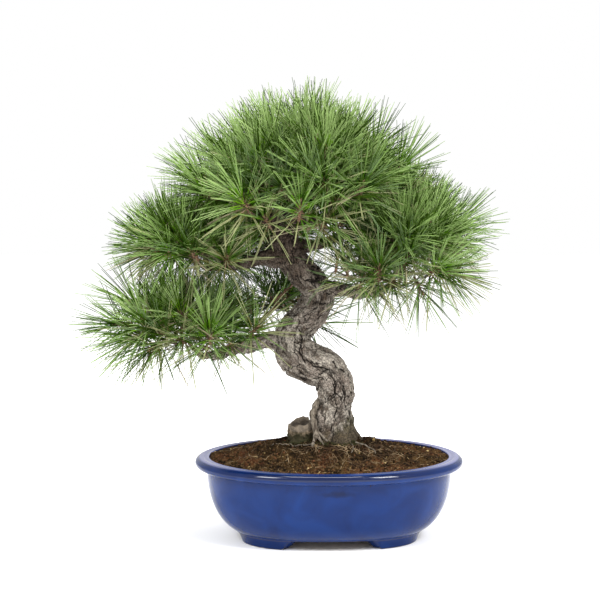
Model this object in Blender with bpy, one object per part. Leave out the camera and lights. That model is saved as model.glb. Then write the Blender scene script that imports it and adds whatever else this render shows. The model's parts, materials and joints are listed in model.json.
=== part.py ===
"""An Aleppo pine grown as a bonsai, in its oval glazed pot.

The pot stands on four bracket feet and is filled with soil. A bent trunk rises from the soil, boughs
leave it on all sides, and each bough ends in a mass of needled shoots.

Metres, +Z up, and the front faces -Y. Shapes are worked out about the middle of the pot, and an empty
that carries them all then moves them, so that the origin lies under the middle of the whole plant.
"""

import math
import random
from collections import namedtuple

import bmesh
import bpy
import numpy as np

UP = np.array([0.0, 0.0, 1.0])
MM = 0.001
GAP = 0.3 * MM

# A face that turns less than this from its neighbour is shaded as one with it
SMOOTH_BELOW = math.radians(50)

# Straight bits worked out for each stretch of a smooth line
CURVE_PARTS = 24

# Pot
POT_HALF_LENGTH = 0.170
POT_HEIGHT = 0.105
POT_TURN = math.radians(2.0)
POT_SIDES = 32
RIM_DEPTH_RATIO = 0.768
FOOT_DEPTH_RATIO = 0.660
RIM_SQUARENESS = 2.05
FOOT_SQUARENESS = 2.60
BODY_BOTTOM = 0.012
BODY_BOTTOM_HALF_LENGTH = 0.108
NECK_HEIGHT = 0.0905
NECK_HALF_LENGTH = 0.1545
BELLY_DROP = 0.029
BELLY_POWER = 2.3
BELLY_STEPS = (0.04, 0.12, 0.26, 0.45, 0.70, 1.0)
TURN_IN = 0.0115
TURN_IN_HEIGHT = 0.008
BOTTOM_ROUND = 0.3
LIP_HEIGHT = 0.0138
LIP_ROUND = 0.010
LIP_ANGLES = (-90, -50, 0, 50, 90)
LIP_INNER_HALF_LENGTH = 0.153
LIP_EASE = 0.002
WALL = 0.007
FLOOR_TOP = 0.020

# Feet
FOOT_HALF_LENGTH = 0.112
FOOT_FLARE = 0.005
FOOT_WIDTH = 0.014
FOOT_TOP = 0.014
FOOT_STEPS = 6
FRONT_GAP_AT_FLOOR = 0.124
FRONT_GAP_AT_TOP = 0.094
SIDE_GAP_AT_FLOOR = 0.050
SIDE_GAP_AT_TOP = 0.036

# Soil
SOIL_EDGE = 0.098
GROUND = 0.1207
SEAT_CENTRE = (-0.012, -0.004)
SEAT_RADII = (0.070, 0.046)
SOIL_STEPS = 4
INNER_HEIGHTS = (SOIL_EDGE, 0.060, 0.034, FLOOR_TOP)

# Trunk: x, y, z and radius along its middle, from the flat cut on the soil to its tip
TRUNK_FOOT = 0.121
TRUNK_SIDES = 12
TRUNK_STEP = 0.0125
TRUNK_LINE = (
    (0.008, 0.000, 0.121, 0.0230),
    (0.007, 0.000, 0.146, 0.0215),
    (0.008, -0.002, 0.170, 0.0218),
    (0.008, -0.005, 0.193, 0.0228),
    (-0.003, -0.008, 0.215, 0.0240),
    (-0.026, -0.008, 0.225, 0.0245),
    (-0.047, -0.003, 0.244, 0.0235),
    (-0.041, 0.003, 0.267, 0.0220),
    (-0.019, 0.006, 0.292, 0.0200),
    (-0.014, 0.005, 0.314, 0.0192),
    (-0.036, 0.001, 0.341, 0.0190),
    (-0.053, -0.002, 0.369, 0.0172),
    (-0.054, -0.002, 0.392, 0.0145),
    (-0.047, 0.000, 0.422, 0.0095),
    (-0.039, 0.002, 0.452, 0.0048),
)
FLARE = 0.52
FLARE_HEIGHT = 0.020
ROOT_LOBES = 6
LOBE_DEPTH = 0.32
KNOB = 0.05
KNOBS_ROUND = 3
KNOB_TWIST = 90
KNOBS_UP = 140
SEARCH_STEP = 0.001

# Sawn root beside the trunk
STUB_CENTRE = (-0.038, -0.009)
STUB_RADIUS = 0.0150
STUB_HEIGHT = 0.027
STUB_SIDES = 10
STUB_DEPTH_RATIO = 0.8
STUB_PROFILE = ((0.0, 1.10), (0.35, 1.0), (0.85, 0.95), (1.0, 0.86))
STUB_SLOPE = 0.20
STUB_LEAN = -0.004

# Boughs: the height at which each leaves the trunk, its radius at both ends in mm, and the points it passes
Bough = namedtuple("Bough", "name leaves_at thick thin through")
BOUGH_SIDES = 8
BOUGH_STEP = 0.014
BOUGHS = (
    Bough("low_left", 0.252, 10.0, 5.5,
          ((-0.088, -0.006, 0.254), (-0.115, -0.010, 0.246), (-0.150, -0.012, 0.233))),
    Bough("low_back", 0.274, 8.0, 5.0,
          ((-0.040, 0.040, 0.268), (-0.044, 0.074, 0.272))),
    Bough("right", 0.316, 7.5, 4.5,
          ((0.022, -0.002, 0.315), (0.044, -0.010, 0.312), (0.072, -0.014, 0.318))),
    Bough("back", 0.342, 8.0, 5.0,
          ((-0.055, 0.040, 0.343), (-0.070, 0.072, 0.350))),
    Bough("mid_left", 0.356, 10.0, 5.5,
          ((-0.085, -0.004, 0.355), (-0.112, -0.008, 0.348), (-0.140, -0.008, 0.345))),
    Bough("right_back", 0.368, 7.0, 4.5,
          ((-0.010, 0.026, 0.372), (0.028, 0.040, 0.384), (0.062, 0.050, 0.394))),
    Bough("upper_left", 0.394, 7.0, 4.2,
          ((-0.080, -0.002, 0.406), (-0.104, 0.000, 0.422))),
    Bough("upper_right", 0.398, 7.0, 4.2,
          ((-0.020, -0.006, 0.402), (0.006, -0.008, 0.412), (0.026, -0.006, 0.430))),
    Bough("upper_front", 0.408, 6.0, 4.0,
          ((-0.046, -0.028, 0.411), (-0.042, -0.052, 0.420))),
    Bough("upper_back", 0.415, 6.0, 4.0,
          ((-0.046, 0.030, 0.420), (-0.042, 0.056, 0.430))),
)

# Clouds: the rounded shells on which the shoots end
Cloud = namedtuple("Cloud", "centre radii shoots lowest")
CLOUDS = {
    "dome": Cloud((-0.040, 0.002, 0.428), (0.134, 0.118, 0.088), 58, -0.10),
    "mid_left": Cloud((-0.190, -0.004, 0.370), (0.060, 0.068, 0.034), 13, -0.30),
    "low_left": Cloud((-0.198, -0.014, 0.262), (0.074, 0.074, 0.030), 16, -0.40),
    "right": Cloud((0.110, -0.014, 0.357), (0.062, 0.066, 0.042), 14, -0.50),
    "right_back": Cloud((0.104, 0.066, 0.414), (0.050, 0.052, 0.036), 9, -0.30),
    "back": Cloud((-0.085, 0.112, 0.368), (0.056, 0.050, 0.032), 9, -0.40),
    "low_back": Cloud((-0.045, 0.112, 0.286), (0.052, 0.044, 0.026), 9, -0.40),
}

# Masses: the cloud each belongs to and the side of it that it takes. The bough of the same name bears it,
# and the apex is borne by the trunk
Mass = namedtuple("Mass", "name cloud facing")
MASSES = (
    Mass("apex", "dome", (0.0, 0.0, 1.0)),
    Mass("upper_left", "dome", (-1.0, 0.0, 0.25)),
    Mass("upper_right", "dome", (1.0, 0.0, 0.25)),
    Mass("upper_front", "dome", (0.0, -1.0, 0.25)),
    Mass("upper_back", "dome", (0.0, 1.0, 0.25)),
    Mass("mid_left", "mid_left", (0.0, 0.0, 1.0)),
    Mass("low_left", "low_left", (0.0, 0.0, 1.0)),
    Mass("right", "right", (0.0, 0.0, 1.0)),
    Mass("right_back", "right_back", (0.0, 0.0, 1.0)),
    Mass("back", "back", (0.0, 0.0, 1.0)),
    Mass("low_back", "low_back", (0.0, 0.0, 1.0)),
)

# Growth
SEED = 7
GOLDEN_TURN = math.pi * (3 - math.sqrt(5))
TURN_STRAY = 0.15
SHELL_DEPTH = 0.16
UPWARD = 0.45
STRAY = 0.16
STEM_SIDES = 5
STEM_STEP = 0.018
STEM_BEND = 0.35
STEM_RISE = 0.45
STEM_TIP_RADIUS = 0.0020
TWIG_RADIUS = 0.0014
TWIG_BRANCHING = 0.38
TWIG_SAG = 0.12
PATH_COST = 0.35
JOINTS_TRIED = 4
GUARD_STEP = 0.008
SPACE_ROOM = 12000

# Needles: rings of three corners turned by a sixth of a turn, whose faces are drawn out to long points
SHOOT_RINGS = 4
SHOOT_SWELL = (1.08, 1.0, 0.72)
SHOOT_ROOM = 0.0030
RING_STEP = 0.0030
NEEDLE_LENGTH = 0.062
NEEDLE_VARIES = 0.008
NEEDLE_RADIUS = 0.0010
NEEDLE_CLEARANCE = 0.0005
SPREADS = (math.radians(84), math.radians(58), math.radians(33), math.radians(6))
SPREAD_VARIES = math.radians(9)
SWAY = 0.16
NEEDLE_SAG = 0.06
TRIES = 7
LOOSER_EACH_TRY = 0.35
SHORTER_EACH_TRY = 0.06

# Owners of pieces that belong to no shoot
LIMB = -1
TWIG = -2

# Finishes: colour, roughness
FINISHES = {
    "pot": ((0.020, 0.065, 0.300), 0.15),
    "soil": ((0.050, 0.028, 0.016), 0.95),
    "trunk": ((0.210, 0.175, 0.145), 0.90),
    "root_stub": ((0.300, 0.220, 0.140), 0.85),
    "bough": ((0.180, 0.145, 0.115), 0.90),
    "foliage": ((0.080, 0.210, 0.045), 0.55),
}


def clear_scene():
    for thing in list(bpy.data.objects):
        bpy.data.objects.remove(thing, do_unlink=True)


def finish_of(name):
    """The material of one sub-part, made once for each name."""
    kind = next(key for key in FINISHES if name.startswith(key))
    colour, roughness = FINISHES[kind]
    material = bpy.data.materials.new(name)
    material.use_nodes = True
    shader = material.node_tree.nodes["Principled BSDF"]
    shader.inputs["Base Color"].default_value = (*colour, 1.0)
    shader.inputs["Roughness"].default_value = roughness
    material.diffuse_color = (*colour, 1.0)
    return material


def make_object(name, points, faces, collection=None):
    """A mesh object from points and faces."""
    mesh = bpy.data.meshes.new(name)
    mesh.from_pydata([tuple(point) for point in points], [], faces)
    thing = bpy.data.objects.new(name, mesh)
    (collection or bpy.context.scene.collection).objects.link(thing)
    return thing


def dress(thing, smooth=True):
    """Gives an object its own material, and shades its gentle turns smooth."""
    thing.data.materials.clear()
    thing.data.materials.append(finish_of(thing.name))
    if smooth:
        thing.data.shade_smooth()
        thing.data.set_sharp_from_angle(angle=SMOOTH_BELOW)


def loft(rings):
    """Points and faces of a closed skin over rings of equal count, with a flat face at each end.

    The sides are triangles split the same way everywhere, so that a skin and a copy of it that is a
    little larger stay the same distance apart."""
    count = len(rings[0])
    points = [point for ring in rings for point in ring]
    faces = [tuple(range(count - 1, -1, -1)), tuple(range(len(points) - count, len(points)))]
    for start in range(0, len(points) - count, count):
        for i in range(count):
            a, b = start + i, start + (i + 1) % count
            faces += [(a, b, b + count), (a, b + count, a + count)]
    return points, faces


def combine(thing, operation, solver, operand):
    """Applies one Boolean. The operand is an object or a collection, whose objects are removed after it."""
    modifier = thing.modifiers.new(operation.lower(), "BOOLEAN")
    modifier.operation = operation
    modifier.solver = solver
    if isinstance(operand, bpy.types.Collection):
        modifier.operand_type = "COLLECTION"
        modifier.collection = operand
    else:
        modifier.object = operand
    bpy.context.view_layer.update()
    graph = bpy.context.evaluated_depsgraph_get()
    old = thing.data
    mesh = bpy.data.meshes.new_from_object(thing.evaluated_get(graph))
    thing.modifiers.clear()
    thing.data = mesh
    mesh.name = thing.name
    bpy.data.meshes.remove(old)
    if isinstance(operand, bpy.types.Collection):
        for other in list(operand.objects):
            bpy.data.objects.remove(other, do_unlink=True)
        bpy.data.collections.remove(operand)


def spare_collection(name):
    collection = bpy.data.collections.new(name)
    bpy.context.scene.collection.children.link(collection)
    return collection


def signed_power(value, power):
    return math.copysign(abs(value) ** power, value)


def pot_shape(height):
    """Depth against length, and squareness, of the pot's level outline at one height."""
    low = 1 - height / POT_HEIGHT
    ratio = RIM_DEPTH_RATIO + (FOOT_DEPTH_RATIO - RIM_DEPTH_RATIO) * low
    squareness = RIM_SQUARENESS + (FOOT_SQUARENESS - RIM_SQUARENESS) * low
    return ratio, squareness


def pot_point(half_length, height, angle):
    """One point of a level outline: nearly an ellipse at the rim, squarer towards the feet."""
    ratio, squareness = pot_shape(height)
    x = half_length * signed_power(math.cos(angle), 2 / squareness)
    y = half_length * ratio * signed_power(math.sin(angle), 2 / squareness)
    turn_cos, turn_sin = math.cos(POT_TURN), math.sin(POT_TURN)
    return (x * turn_cos - y * turn_sin, x * turn_sin + y * turn_cos, height)


def pot_ring(half_length, height):
    """A whole level outline of the pot."""
    angles = (2 * math.pi * i / POT_SIDES for i in range(POT_SIDES))
    return [pot_point(half_length, height, angle) for angle in angles]


def belly(height):
    """Half length of the outer wall, which swells from the feet and stands nearly upright at the neck."""
    part = min(1.0, (height - BODY_BOTTOM) / (NECK_HEIGHT - BODY_BOTTOM))
    turned_in = TURN_IN * math.exp((BODY_BOTTOM - height) / TURN_IN_HEIGHT)
    return NECK_HALF_LENGTH - BELLY_DROP * (1 - part) ** BELLY_POWER - turned_in


def pot_rows():
    """Half lengths and heights of the section, up the outside, over the lip and down the inside."""
    heights = [BODY_BOTTOM + (NECK_HEIGHT - BODY_BOTTOM) * part for part in BELLY_STEPS]
    turned_in = (BODY_BOTTOM_HALF_LENGTH + belly(heights[0])) / 2
    turned_up = BODY_BOTTOM + BOTTOM_ROUND * (heights[0] - BODY_BOTTOM)
    rows = [(BODY_BOTTOM_HALF_LENGTH, BODY_BOTTOM), (turned_in, turned_up)]
    rows += [(belly(height), height) for height in heights]
    for degrees in LIP_ANGLES:
        angle = math.radians(degrees)
        half_length = POT_HALF_LENGTH - LIP_ROUND * (1 - math.cos(angle))
        rows.append((half_length, POT_HEIGHT - LIP_HEIGHT * (1 - math.sin(angle)) / 2))
    rows.append((LIP_INNER_HALF_LENGTH + LIP_EASE, POT_HEIGHT))
    rows.append((LIP_INNER_HALF_LENGTH, POT_HEIGHT - LIP_EASE))
    rows += [(belly(height) - WALL, height) for height in INNER_HEIGHTS]
    return rows


def foot_angle(across, half_size, squareness, along_x):
    """Outline angle at which an oval of this half size is a given distance from its middle line."""
    part = (across / half_size) ** (squareness / 2)
    return math.acos(part) if along_x else math.asin(part)


def foot_span(half_length, height, front_gap, side_gap):
    """First and last outline angles of a foot, at one height."""
    ratio, squareness = pot_shape(height)
    first = foot_angle(side_gap / 2, half_length * ratio, squareness, False)
    last = foot_angle(front_gap / 2, half_length, squareness, True)
    return first, last


def mirror(angle, mirrored_x, mirrored_y):
    if mirrored_x:
        angle = math.pi - angle
    return -angle if mirrored_y else angle


def foot_rings(mirrored_x, mirrored_y):
    """Sections of one bracket foot, from its end at the pot's side to its end at the front or back."""
    low = foot_span(FOOT_HALF_LENGTH, 0.0, FRONT_GAP_AT_FLOOR, SIDE_GAP_AT_FLOOR)
    top_half = FOOT_HALF_LENGTH + FOOT_FLARE
    high = foot_span(top_half, FOOT_TOP, FRONT_GAP_AT_TOP, SIDE_GAP_AT_TOP)
    rings = []
    for i in range(FOOT_STEPS + 1):
        below = low[0] + (low[1] - low[0]) * i / FOOT_STEPS
        above = high[0] + (high[1] - high[0]) * i / FOOT_STEPS
        below = mirror(below, mirrored_x, mirrored_y)
        above = mirror(above, mirrored_x, mirrored_y)
        inner_bottom = pot_point(FOOT_HALF_LENGTH - FOOT_WIDTH, 0.0, below)
        inner_top = pot_point(top_half - FOOT_WIDTH, FOOT_TOP, above)
        outer_top = pot_point(top_half, FOOT_TOP, above)
        outer_bottom = pot_point(FOOT_HALF_LENGTH, 0.0, below)
        rings.append([inner_bottom, inner_top, outer_top, outer_bottom])
    return rings[::-1] if mirrored_x != mirrored_y else rings


def make_pot():
    pot = make_object("pot", *loft([pot_ring(half, height) for half, height in pot_rows()]))
    feet = spare_collection("feet")
    for mirrored_x in (False, True):
        for mirrored_y in (False, True):
            make_object("foot", *loft(foot_rings(mirrored_x, mirrored_y)), feet)
    combine(pot, "UNION", "EXACT", feet)
    dress(pot)
    return pot


def soil_ring(part):
    """A ring of the soil's surface, from the flat seat under the trunk out to the wall."""
    ring = []
    drop = (GROUND - SOIL_EDGE) * math.sin(part * math.pi / 2)
    wall = pot_ring(belly(SOIL_EDGE) - WALL - 2 * GAP, SOIL_EDGE)
    for i, outer in enumerate(wall):
        angle = 2 * math.pi * i / POT_SIDES
        inner_x = SEAT_CENTRE[0] + SEAT_RADII[0] * math.cos(angle)
        inner_y = SEAT_CENTRE[1] + SEAT_RADII[1] * math.sin(angle)
        x = inner_x + (outer[0] - inner_x) * part
        y = inner_y + (outer[1] - inner_y) * part
        ring.append((x, y, GROUND - drop))
    return ring


def make_soil():
    """Soil that fills the pot a hair clear of its wall, mounded to a flat seat for the trunk."""
    inside = [(belly(height) - WALL - 2 * GAP, height) for height in reversed(INNER_HEIGHTS)]
    inside[0] = (inside[0][0], FLOOR_TOP + GAP)
    rings = [pot_ring(half, height) for half, height in inside]
    rings += [soil_ring(1 - i / SOIL_STEPS) for i in range(SOIL_STEPS + 1)]
    soil = make_object("soil", *loft(rings))
    dress(soil)
    return soil


def smooth_line(rows, step):
    """A smooth curve through rows of numbers, the first three of which are a place, at even steps."""
    rows = np.array(rows)
    rows = np.vstack((2 * rows[0] - rows[1], rows, 2 * rows[-1] - rows[-2]))
    parts = np.linspace(0, 1, CURVE_PARTS, endpoint=False)[:, None]
    pieces = []
    for a, b, c, d in zip(rows, rows[1:], rows[2:], rows[3:]):
        cubic = 2 * b + (c - a) * parts + (2 * a - 5 * b + 4 * c - d) * parts**2
        pieces.append((cubic + (3 * b - a - 3 * c + d) * parts**3) / 2)
    fine = np.vstack((*pieces, rows[-2]))
    lengths = np.linalg.norm(np.diff(fine[:, :3], axis=0), axis=1)
    along = np.concatenate(([0], np.cumsum(lengths)))
    places = np.linspace(0, along[-1], max(2, round(along[-1] / step) + 1))
    return np.stack([np.interp(places, along, column) for column in fine.T], axis=1)


def unit(vector):
    return vector / np.linalg.norm(vector)


def directions(line):
    """The heading of a line at each of its points."""
    return [unit(step) for step in np.gradient(line, axis=0)]


def frames(headings):
    """Two axes across each of a line's headings, carried along it without twisting."""
    side = np.array([1.0, 0.0, 0.0])
    found = []
    for heading in headings:
        side = side - heading * (side @ heading)
        if np.linalg.norm(side) < 1e-6:
            side = np.cross(heading, (0.0, 1.0, 0.0))
        side = unit(side)
        found.append((side, np.cross(heading, side)))
    return found


def round_rings(line, radii, sides, headings=None, turn_each=0.0):
    """Rings of a limb. A radius may be a function of the angle, and each ring may be turned past the last."""
    rings = []
    axes_of_all = frames(headings or directions(line))
    for n, (middle, radius, axes) in enumerate(zip(line, radii, axes_of_all)):
        ring = []
        for i in range(sides):
            angle = 2 * math.pi * i / sides + turn_each * n
            reach = radius(angle) if callable(radius) else radius
            ring.append(middle + reach * (math.cos(angle) * axes[0] + math.sin(angle) * axes[1]))
        rings.append(ring)
    return rings


def trunk_rings(extra=0.0):
    """Rings of the trunk, with root lobes at its foot and slight knobs above. Extra makes it fatter."""
    rows = smooth_line(TRUNK_LINE, TRUNK_STEP)
    line = rows[:, :3]

    def swelling(place, radius):
        flare = FLARE * math.exp(-(place[2] - TRUNK_FOOT) / FLARE_HEIGHT)

        def at(angle):
            lobes = 1 - LOBE_DEPTH + LOBE_DEPTH * math.cos(ROOT_LOBES * angle)
            turned = KNOBS_ROUND * angle + KNOB_TWIST * place[2]
            knobs = KNOB * math.sin(turned) * math.sin(KNOBS_UP * place[2])
            return radius * (1 + flare * lobes + knobs) + extra

        return at

    radii = [swelling(place, radius) for place, radius in zip(line, rows[:, 3])]
    rings = round_rings(line, radii, TRUNK_SIDES)
    for corner in rings[0]:
        corner[2] = TRUNK_FOOT - extra
    return rings


def trunk_place(height):
    """The trunk's middle and radius where it first reaches a height."""
    rows = smooth_line(TRUNK_LINE, SEARCH_STEP)
    return rows[np.argmax(rows[:, 2] >= height)]


def make_trunk():
    trunk = make_object("trunk", *loft(trunk_rings()))
    dress(trunk)
    return trunk


def make_root_stub(clearance):
    """The sawn end of a thick root, standing beside the trunk with a sloping cut."""
    rings = []
    for part, spread in STUB_PROFILE:
        ring = []
        for i in range(STUB_SIDES):
            angle = 2 * math.pi * i / STUB_SIDES
            x = STUB_CENTRE[0] + STUB_LEAN * part + STUB_RADIUS * spread * math.cos(angle)
            y = STUB_CENTRE[1] + STUB_DEPTH_RATIO * STUB_RADIUS * spread * math.sin(angle)
            slope = STUB_SLOPE * part * (x - STUB_CENTRE[0])
            ring.append((x, y, TRUNK_FOOT + STUB_HEIGHT * part + slope))
        rings.append(ring)
    stub = make_object("root_stub", *loft(rings))
    combine(stub, "DIFFERENCE", "EXACT", clearance)
    dress(stub)
    return stub


def bough_line(bough):
    """Places and radii of a bough, from the trunk's middle to its tip."""
    start = trunk_place(bough.leaves_at)[:3]
    places = [tuple(start), *bough.through]
    count = len(places) - 1
    radii = [MM * (bough.thick + (bough.thin - bough.thick) * i / count) for i in range(count + 1)]
    return smooth_line([(*place, radius) for place, radius in zip(places, radii)], BOUGH_STEP)


def make_bough(bough, clearance):
    rows = bough_line(bough)
    rings = round_rings(rows[:, :3], rows[:, 3], BOUGH_SIDES)
    limb = make_object("bough_" + bough.name, *loft(rings))
    combine(limb, "DIFFERENCE", "EXACT", clearance)
    dress(limb)
    return limb


class Space:
    """The straight pieces placed so far, so that a new one can be kept clear of them."""

    def __init__(self):
        self.rows = np.zeros((SPACE_ROOM, 8))
        self.count = 0

    def add(self, start, end, radius, owner):
        self.rows[self.count] = (*start, *end, radius, owner)
        self.count += 1

    def add_line(self, line, radii, owner):
        for start, end, radius in zip(line, line[1:], radii):
            self.add(start, end, radius, owner)

    def gap(self, start, end, owner):
        """The least distance from a straight piece to the skin of any piece of another owner."""
        rows = self.rows[: self.count]
        rows = rows[rows[:, 7] != owner]
        ours = end - start
        theirs = rows[:, 3:6] - rows[:, :3]
        between = start - rows[:, :3]
        size = (theirs * theirs).sum(1)
        mixed = theirs @ ours
        near_ours = between @ ours
        near_theirs = (between * theirs).sum(1)
        across = np.maximum(ours @ ours * size - mixed**2, 1e-18)
        s = np.clip((mixed * near_theirs - size * near_ours) / across, 0, 1)
        t = np.clip((mixed * s + near_theirs) / size, 0, 1)
        s = np.clip((mixed * t - near_ours) / (ours @ ours), 0, 1)
        apart = between + s[:, None] * ours - t[:, None] * theirs
        return (np.linalg.norm(apart, axis=1) - rows[:, 6]).min()


def cloud_sites(cloud, draw):
    """Places on a cloud's upper shell, strewn by the golden angle, each with its way outwards."""
    found = []
    for i in range(cloud.shoots):
        level = 1 - (i + 0.5) / cloud.shoots * (1 - cloud.lowest)
        turn = GOLDEN_TURN * i + draw.uniform(-TURN_STRAY, TURN_STRAY)
        flat = math.sqrt(1 - level**2)
        out = np.array([flat * math.cos(turn), flat * math.sin(turn), level])
        depth = 1 - SHELL_DEPTH * draw.random()
        found.append((np.array(cloud.centre) + np.array(cloud.radii) * out * depth, out))
    return found


def sites_of(mass, sites):
    """The sites of a cloud that this mass takes: those it faces more than its neighbours do."""
    rivals = [other for other in MASSES if other.cloud == mass.cloud]
    facings = np.array([unit(np.array(other.facing)) for other in rivals])
    return [(place, out) for place, out in sites if rivals[int(np.argmax(facings @ out))] is mass]


def limb_end(mass):
    """Tip, heading and radius of the limb that bears a mass."""
    bearers = [bough for bough in BOUGHS if bough.name == mass.name]
    rows = bough_line(bearers[0]) if bearers else smooth_line(TRUNK_LINE, TRUNK_STEP)
    line = rows[:, :3]
    return line[-1], directions(line)[-1], rows[-1, 3]


class Twig:
    """A woody line that grows from a node of its parent. All but the stems end in a shoot."""

    def __init__(self, line, parent=None, heading=None):
        self.line = line
        self.parent = parent
        self.heading = heading
        self.borne = 1
        self.owner = None
        self.rings = []
        self.tips = {}
        while parent is not None:
            parent.borne += 1
            parent = parent.parent

    def radii(self):
        thick = TWIG_RADIUS * self.borne**TWIG_BRANCHING
        return np.linspace(thick, TWIG_RADIUS, len(self.line))

    def make_rings(self):
        """Three-cornered rings along the twig and then, closer together, along its shoot."""
        shoot = [self.line[-1] + self.heading * RING_STEP * n for n in range(1, SHOOT_RINGS)]
        woody = [unit(step) for step in np.diff(self.line, axis=0)]
        headings = woody + [self.heading] * SHOOT_RINGS
        radii = [*self.radii(), *(TWIG_RADIUS * size for size in SHOOT_SWELL)]
        self.rings = round_rings([*self.line, *shoot], radii, 3, headings, math.pi / 3)


def stem_of(mass, sites):
    """The one stem of a mass, from just past its limb's tip to under the middle of its shoots."""
    tip, heading, radius = limb_end(mass)
    start = tip + GAP * heading
    middle = np.mean([place for place, _ in sites], axis=0)
    heart = middle - UP * STEM_RISE * max(0.0, middle[2] - start[2])
    bend = start + heading * STEM_BEND * np.linalg.norm(heart - start)
    return Twig(smooth_line((start, bend, heart), STEM_STEP), heading=heading), radius


def grow(stem, sites, draw, space):
    """Joins the sites to what has grown, nearest first, each by the shortest way back to the limb."""
    nodes = [(place, stem, np.linalg.norm(place - stem.line[0])) for place in stem.line[1:]]
    twigs = []
    for place, out in sorted(sites, key=lambda site: np.linalg.norm(site[0] - stem.line[0])):
        costs = [np.linalg.norm(place - node[0]) + PATH_COST * node[2] for node in nodes]
        stray = np.array([draw.gauss(0, STRAY) for _ in range(3)])
        heading = unit(out + UPWARD * UP + stray)
        for choice in np.argsort(costs)[:JOINTS_TRIED]:
            origin, parent, length = nodes[choice]
            reach = np.linalg.norm(place - origin)
            middle = (origin + place) / 2 - UP * TWIG_SAG * reach
            if space.gap(middle, place, TWIG) > 2 * TWIG_RADIUS:
                twig = Twig(np.array([origin, middle, place]), parent, heading)
                nodes.append((middle, twig, length + reach / 2))
                twigs.append(twig)
                break
    return twigs


def shoot_faces():
    """Each face of a shoot's rings as three (ring, corner) pairs, with the band it lies in."""
    faces = []
    for ring in range(SHOOT_RINGS - 1):
        for i in range(3):
            j = (i + 1) % 3
            faces.append((ring, ((ring, i), (ring, j), (ring + 1, i))))
            faces.append((ring, ((ring, j), (ring + 1, j), (ring + 1, i))))
    end = SHOOT_RINGS - 1
    faces.append((end, ((end, 0), (end, 1), (end, 2))))
    return faces


def draw_needle(twig, index, draw, space):
    """Draws one face of a shoot out to a needle's point, if a way is found that touches nothing."""
    band, corners = shoot_faces()[index]
    rings = twig.rings[-SHOOT_RINGS:]
    base = np.mean([rings[ring][i] for ring, i in corners], axis=0)
    away = base - twig.line[-1]
    away = away - twig.heading * (away @ twig.heading)
    away = unit(away) if np.linalg.norm(away) > 1e-6 else frames([twig.heading])[0][0]
    side = np.cross(twig.heading, away)
    for attempt in range(TRIES):
        loose = 1 + LOOSER_EACH_TRY * attempt
        spread = SPREADS[band] + draw.gauss(0, SPREAD_VARIES) * loose
        outwards = away + side * draw.gauss(0, SWAY) * loose
        way = unit(math.cos(spread) * twig.heading + math.sin(spread) * outwards - NEEDLE_SAG * UP)
        length = NEEDLE_LENGTH + draw.uniform(-1, 1) * NEEDLE_VARIES
        tip = base + way * length * (1 - SHORTER_EACH_TRY * attempt)
        if space.gap(base, tip, twig.owner) > NEEDLE_RADIUS + NEEDLE_CLEARANCE:
            twig.tips[index] = tip
            space.add(base, tip, NEEDLE_RADIUS, twig.owner)
            return


def twig_solid(twig):
    """Points and faces of a twig and its shoot as one closed skin, with the needles drawn out."""
    points = [point for ring in twig.rings for point in ring]
    woody = len(twig.rings) - SHOOT_RINGS
    faces = [(2, 1, 0)]
    for start in range(0, 3 * woody, 3):
        for i in range(3):
            a, b = start + i, start + (i + 1) % 3
            faces += [(a, b, a + 3), (b, b + 3, a + 3)]
    for index, (_, corners) in enumerate(shoot_faces()):
        a, b, c = (3 * (woody + ring) + i for ring, i in corners)
        if index in twig.tips:
            points.append(twig.tips[index])
            tip = len(points) - 1
            faces += [(a, b, tip), (b, c, tip), (c, a, tip)]
        else:
            faces.append((a, b, c))
    return points, faces


def keep_largest(mesh):
    """Drops the sealed hollows and loose scraps that a union may leave, which are small separate skins."""
    work = bmesh.new()
    work.from_mesh(mesh)
    waiting = set(work.verts)
    skins = []
    while waiting:
        skin = []
        edge_of_skin = [waiting.pop()]
        while edge_of_skin:
            vertex = edge_of_skin.pop()
            skin.append(vertex)
            near = {edge.other_vert(vertex) for edge in vertex.link_edges} & waiting
            waiting -= near
            edge_of_skin += near
        skins.append(skin)
    for skin in sorted(skins, key=len)[:-1]:
        bmesh.ops.delete(work, geom=skin, context="VERTS")
    work.to_mesh(mesh)
    work.free()


def make_foliage(mass, stem, stem_radius, twigs):
    """One mass: its stem and all its twigs, joined by a Boolean union."""
    radii = np.linspace(stem_radius, STEM_TIP_RADIUS, len(stem.line))
    headings = [stem.heading, *directions(stem.line)[1:]]
    rings = round_rings(stem.line, radii, STEM_SIDES, headings)
    foliage = make_object("foliage_" + mass.name, *loft(rings))
    parts = spare_collection("twigs")
    for twig in twigs:
        make_object("twig", *twig_solid(twig), parts)
    combine(foliage, "UNION", "MANIFOLD", parts)
    keep_largest(foliage.data)
    dress(foliage, smooth=False)
    return foliage


def limbs_in_space():
    """The trunk and the boughs as straight pieces that twigs and needles keep clear of."""
    space = Space()
    trunk = smooth_line(TRUNK_LINE, GUARD_STEP)
    space.add_line(trunk[:, :3], trunk[:, 3] * (1 + KNOB), LIMB)
    for bough in BOUGHS:
        rows = bough_line(bough)
        space.add_line(rows[:, :3], rows[:, 3], LIMB)
    return space


def grow_masses(draw, space):
    """The stem and the twigs of every mass."""
    sites = {name: cloud_sites(cloud, draw) for name, cloud in CLOUDS.items()}
    grown = []
    for mass in MASSES:
        own = sites_of(mass, sites[mass.cloud])
        stem, radius = stem_of(mass, own)
        grown.append((mass, stem, radius, grow(stem, own, draw, space)))
    return grown


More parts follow.
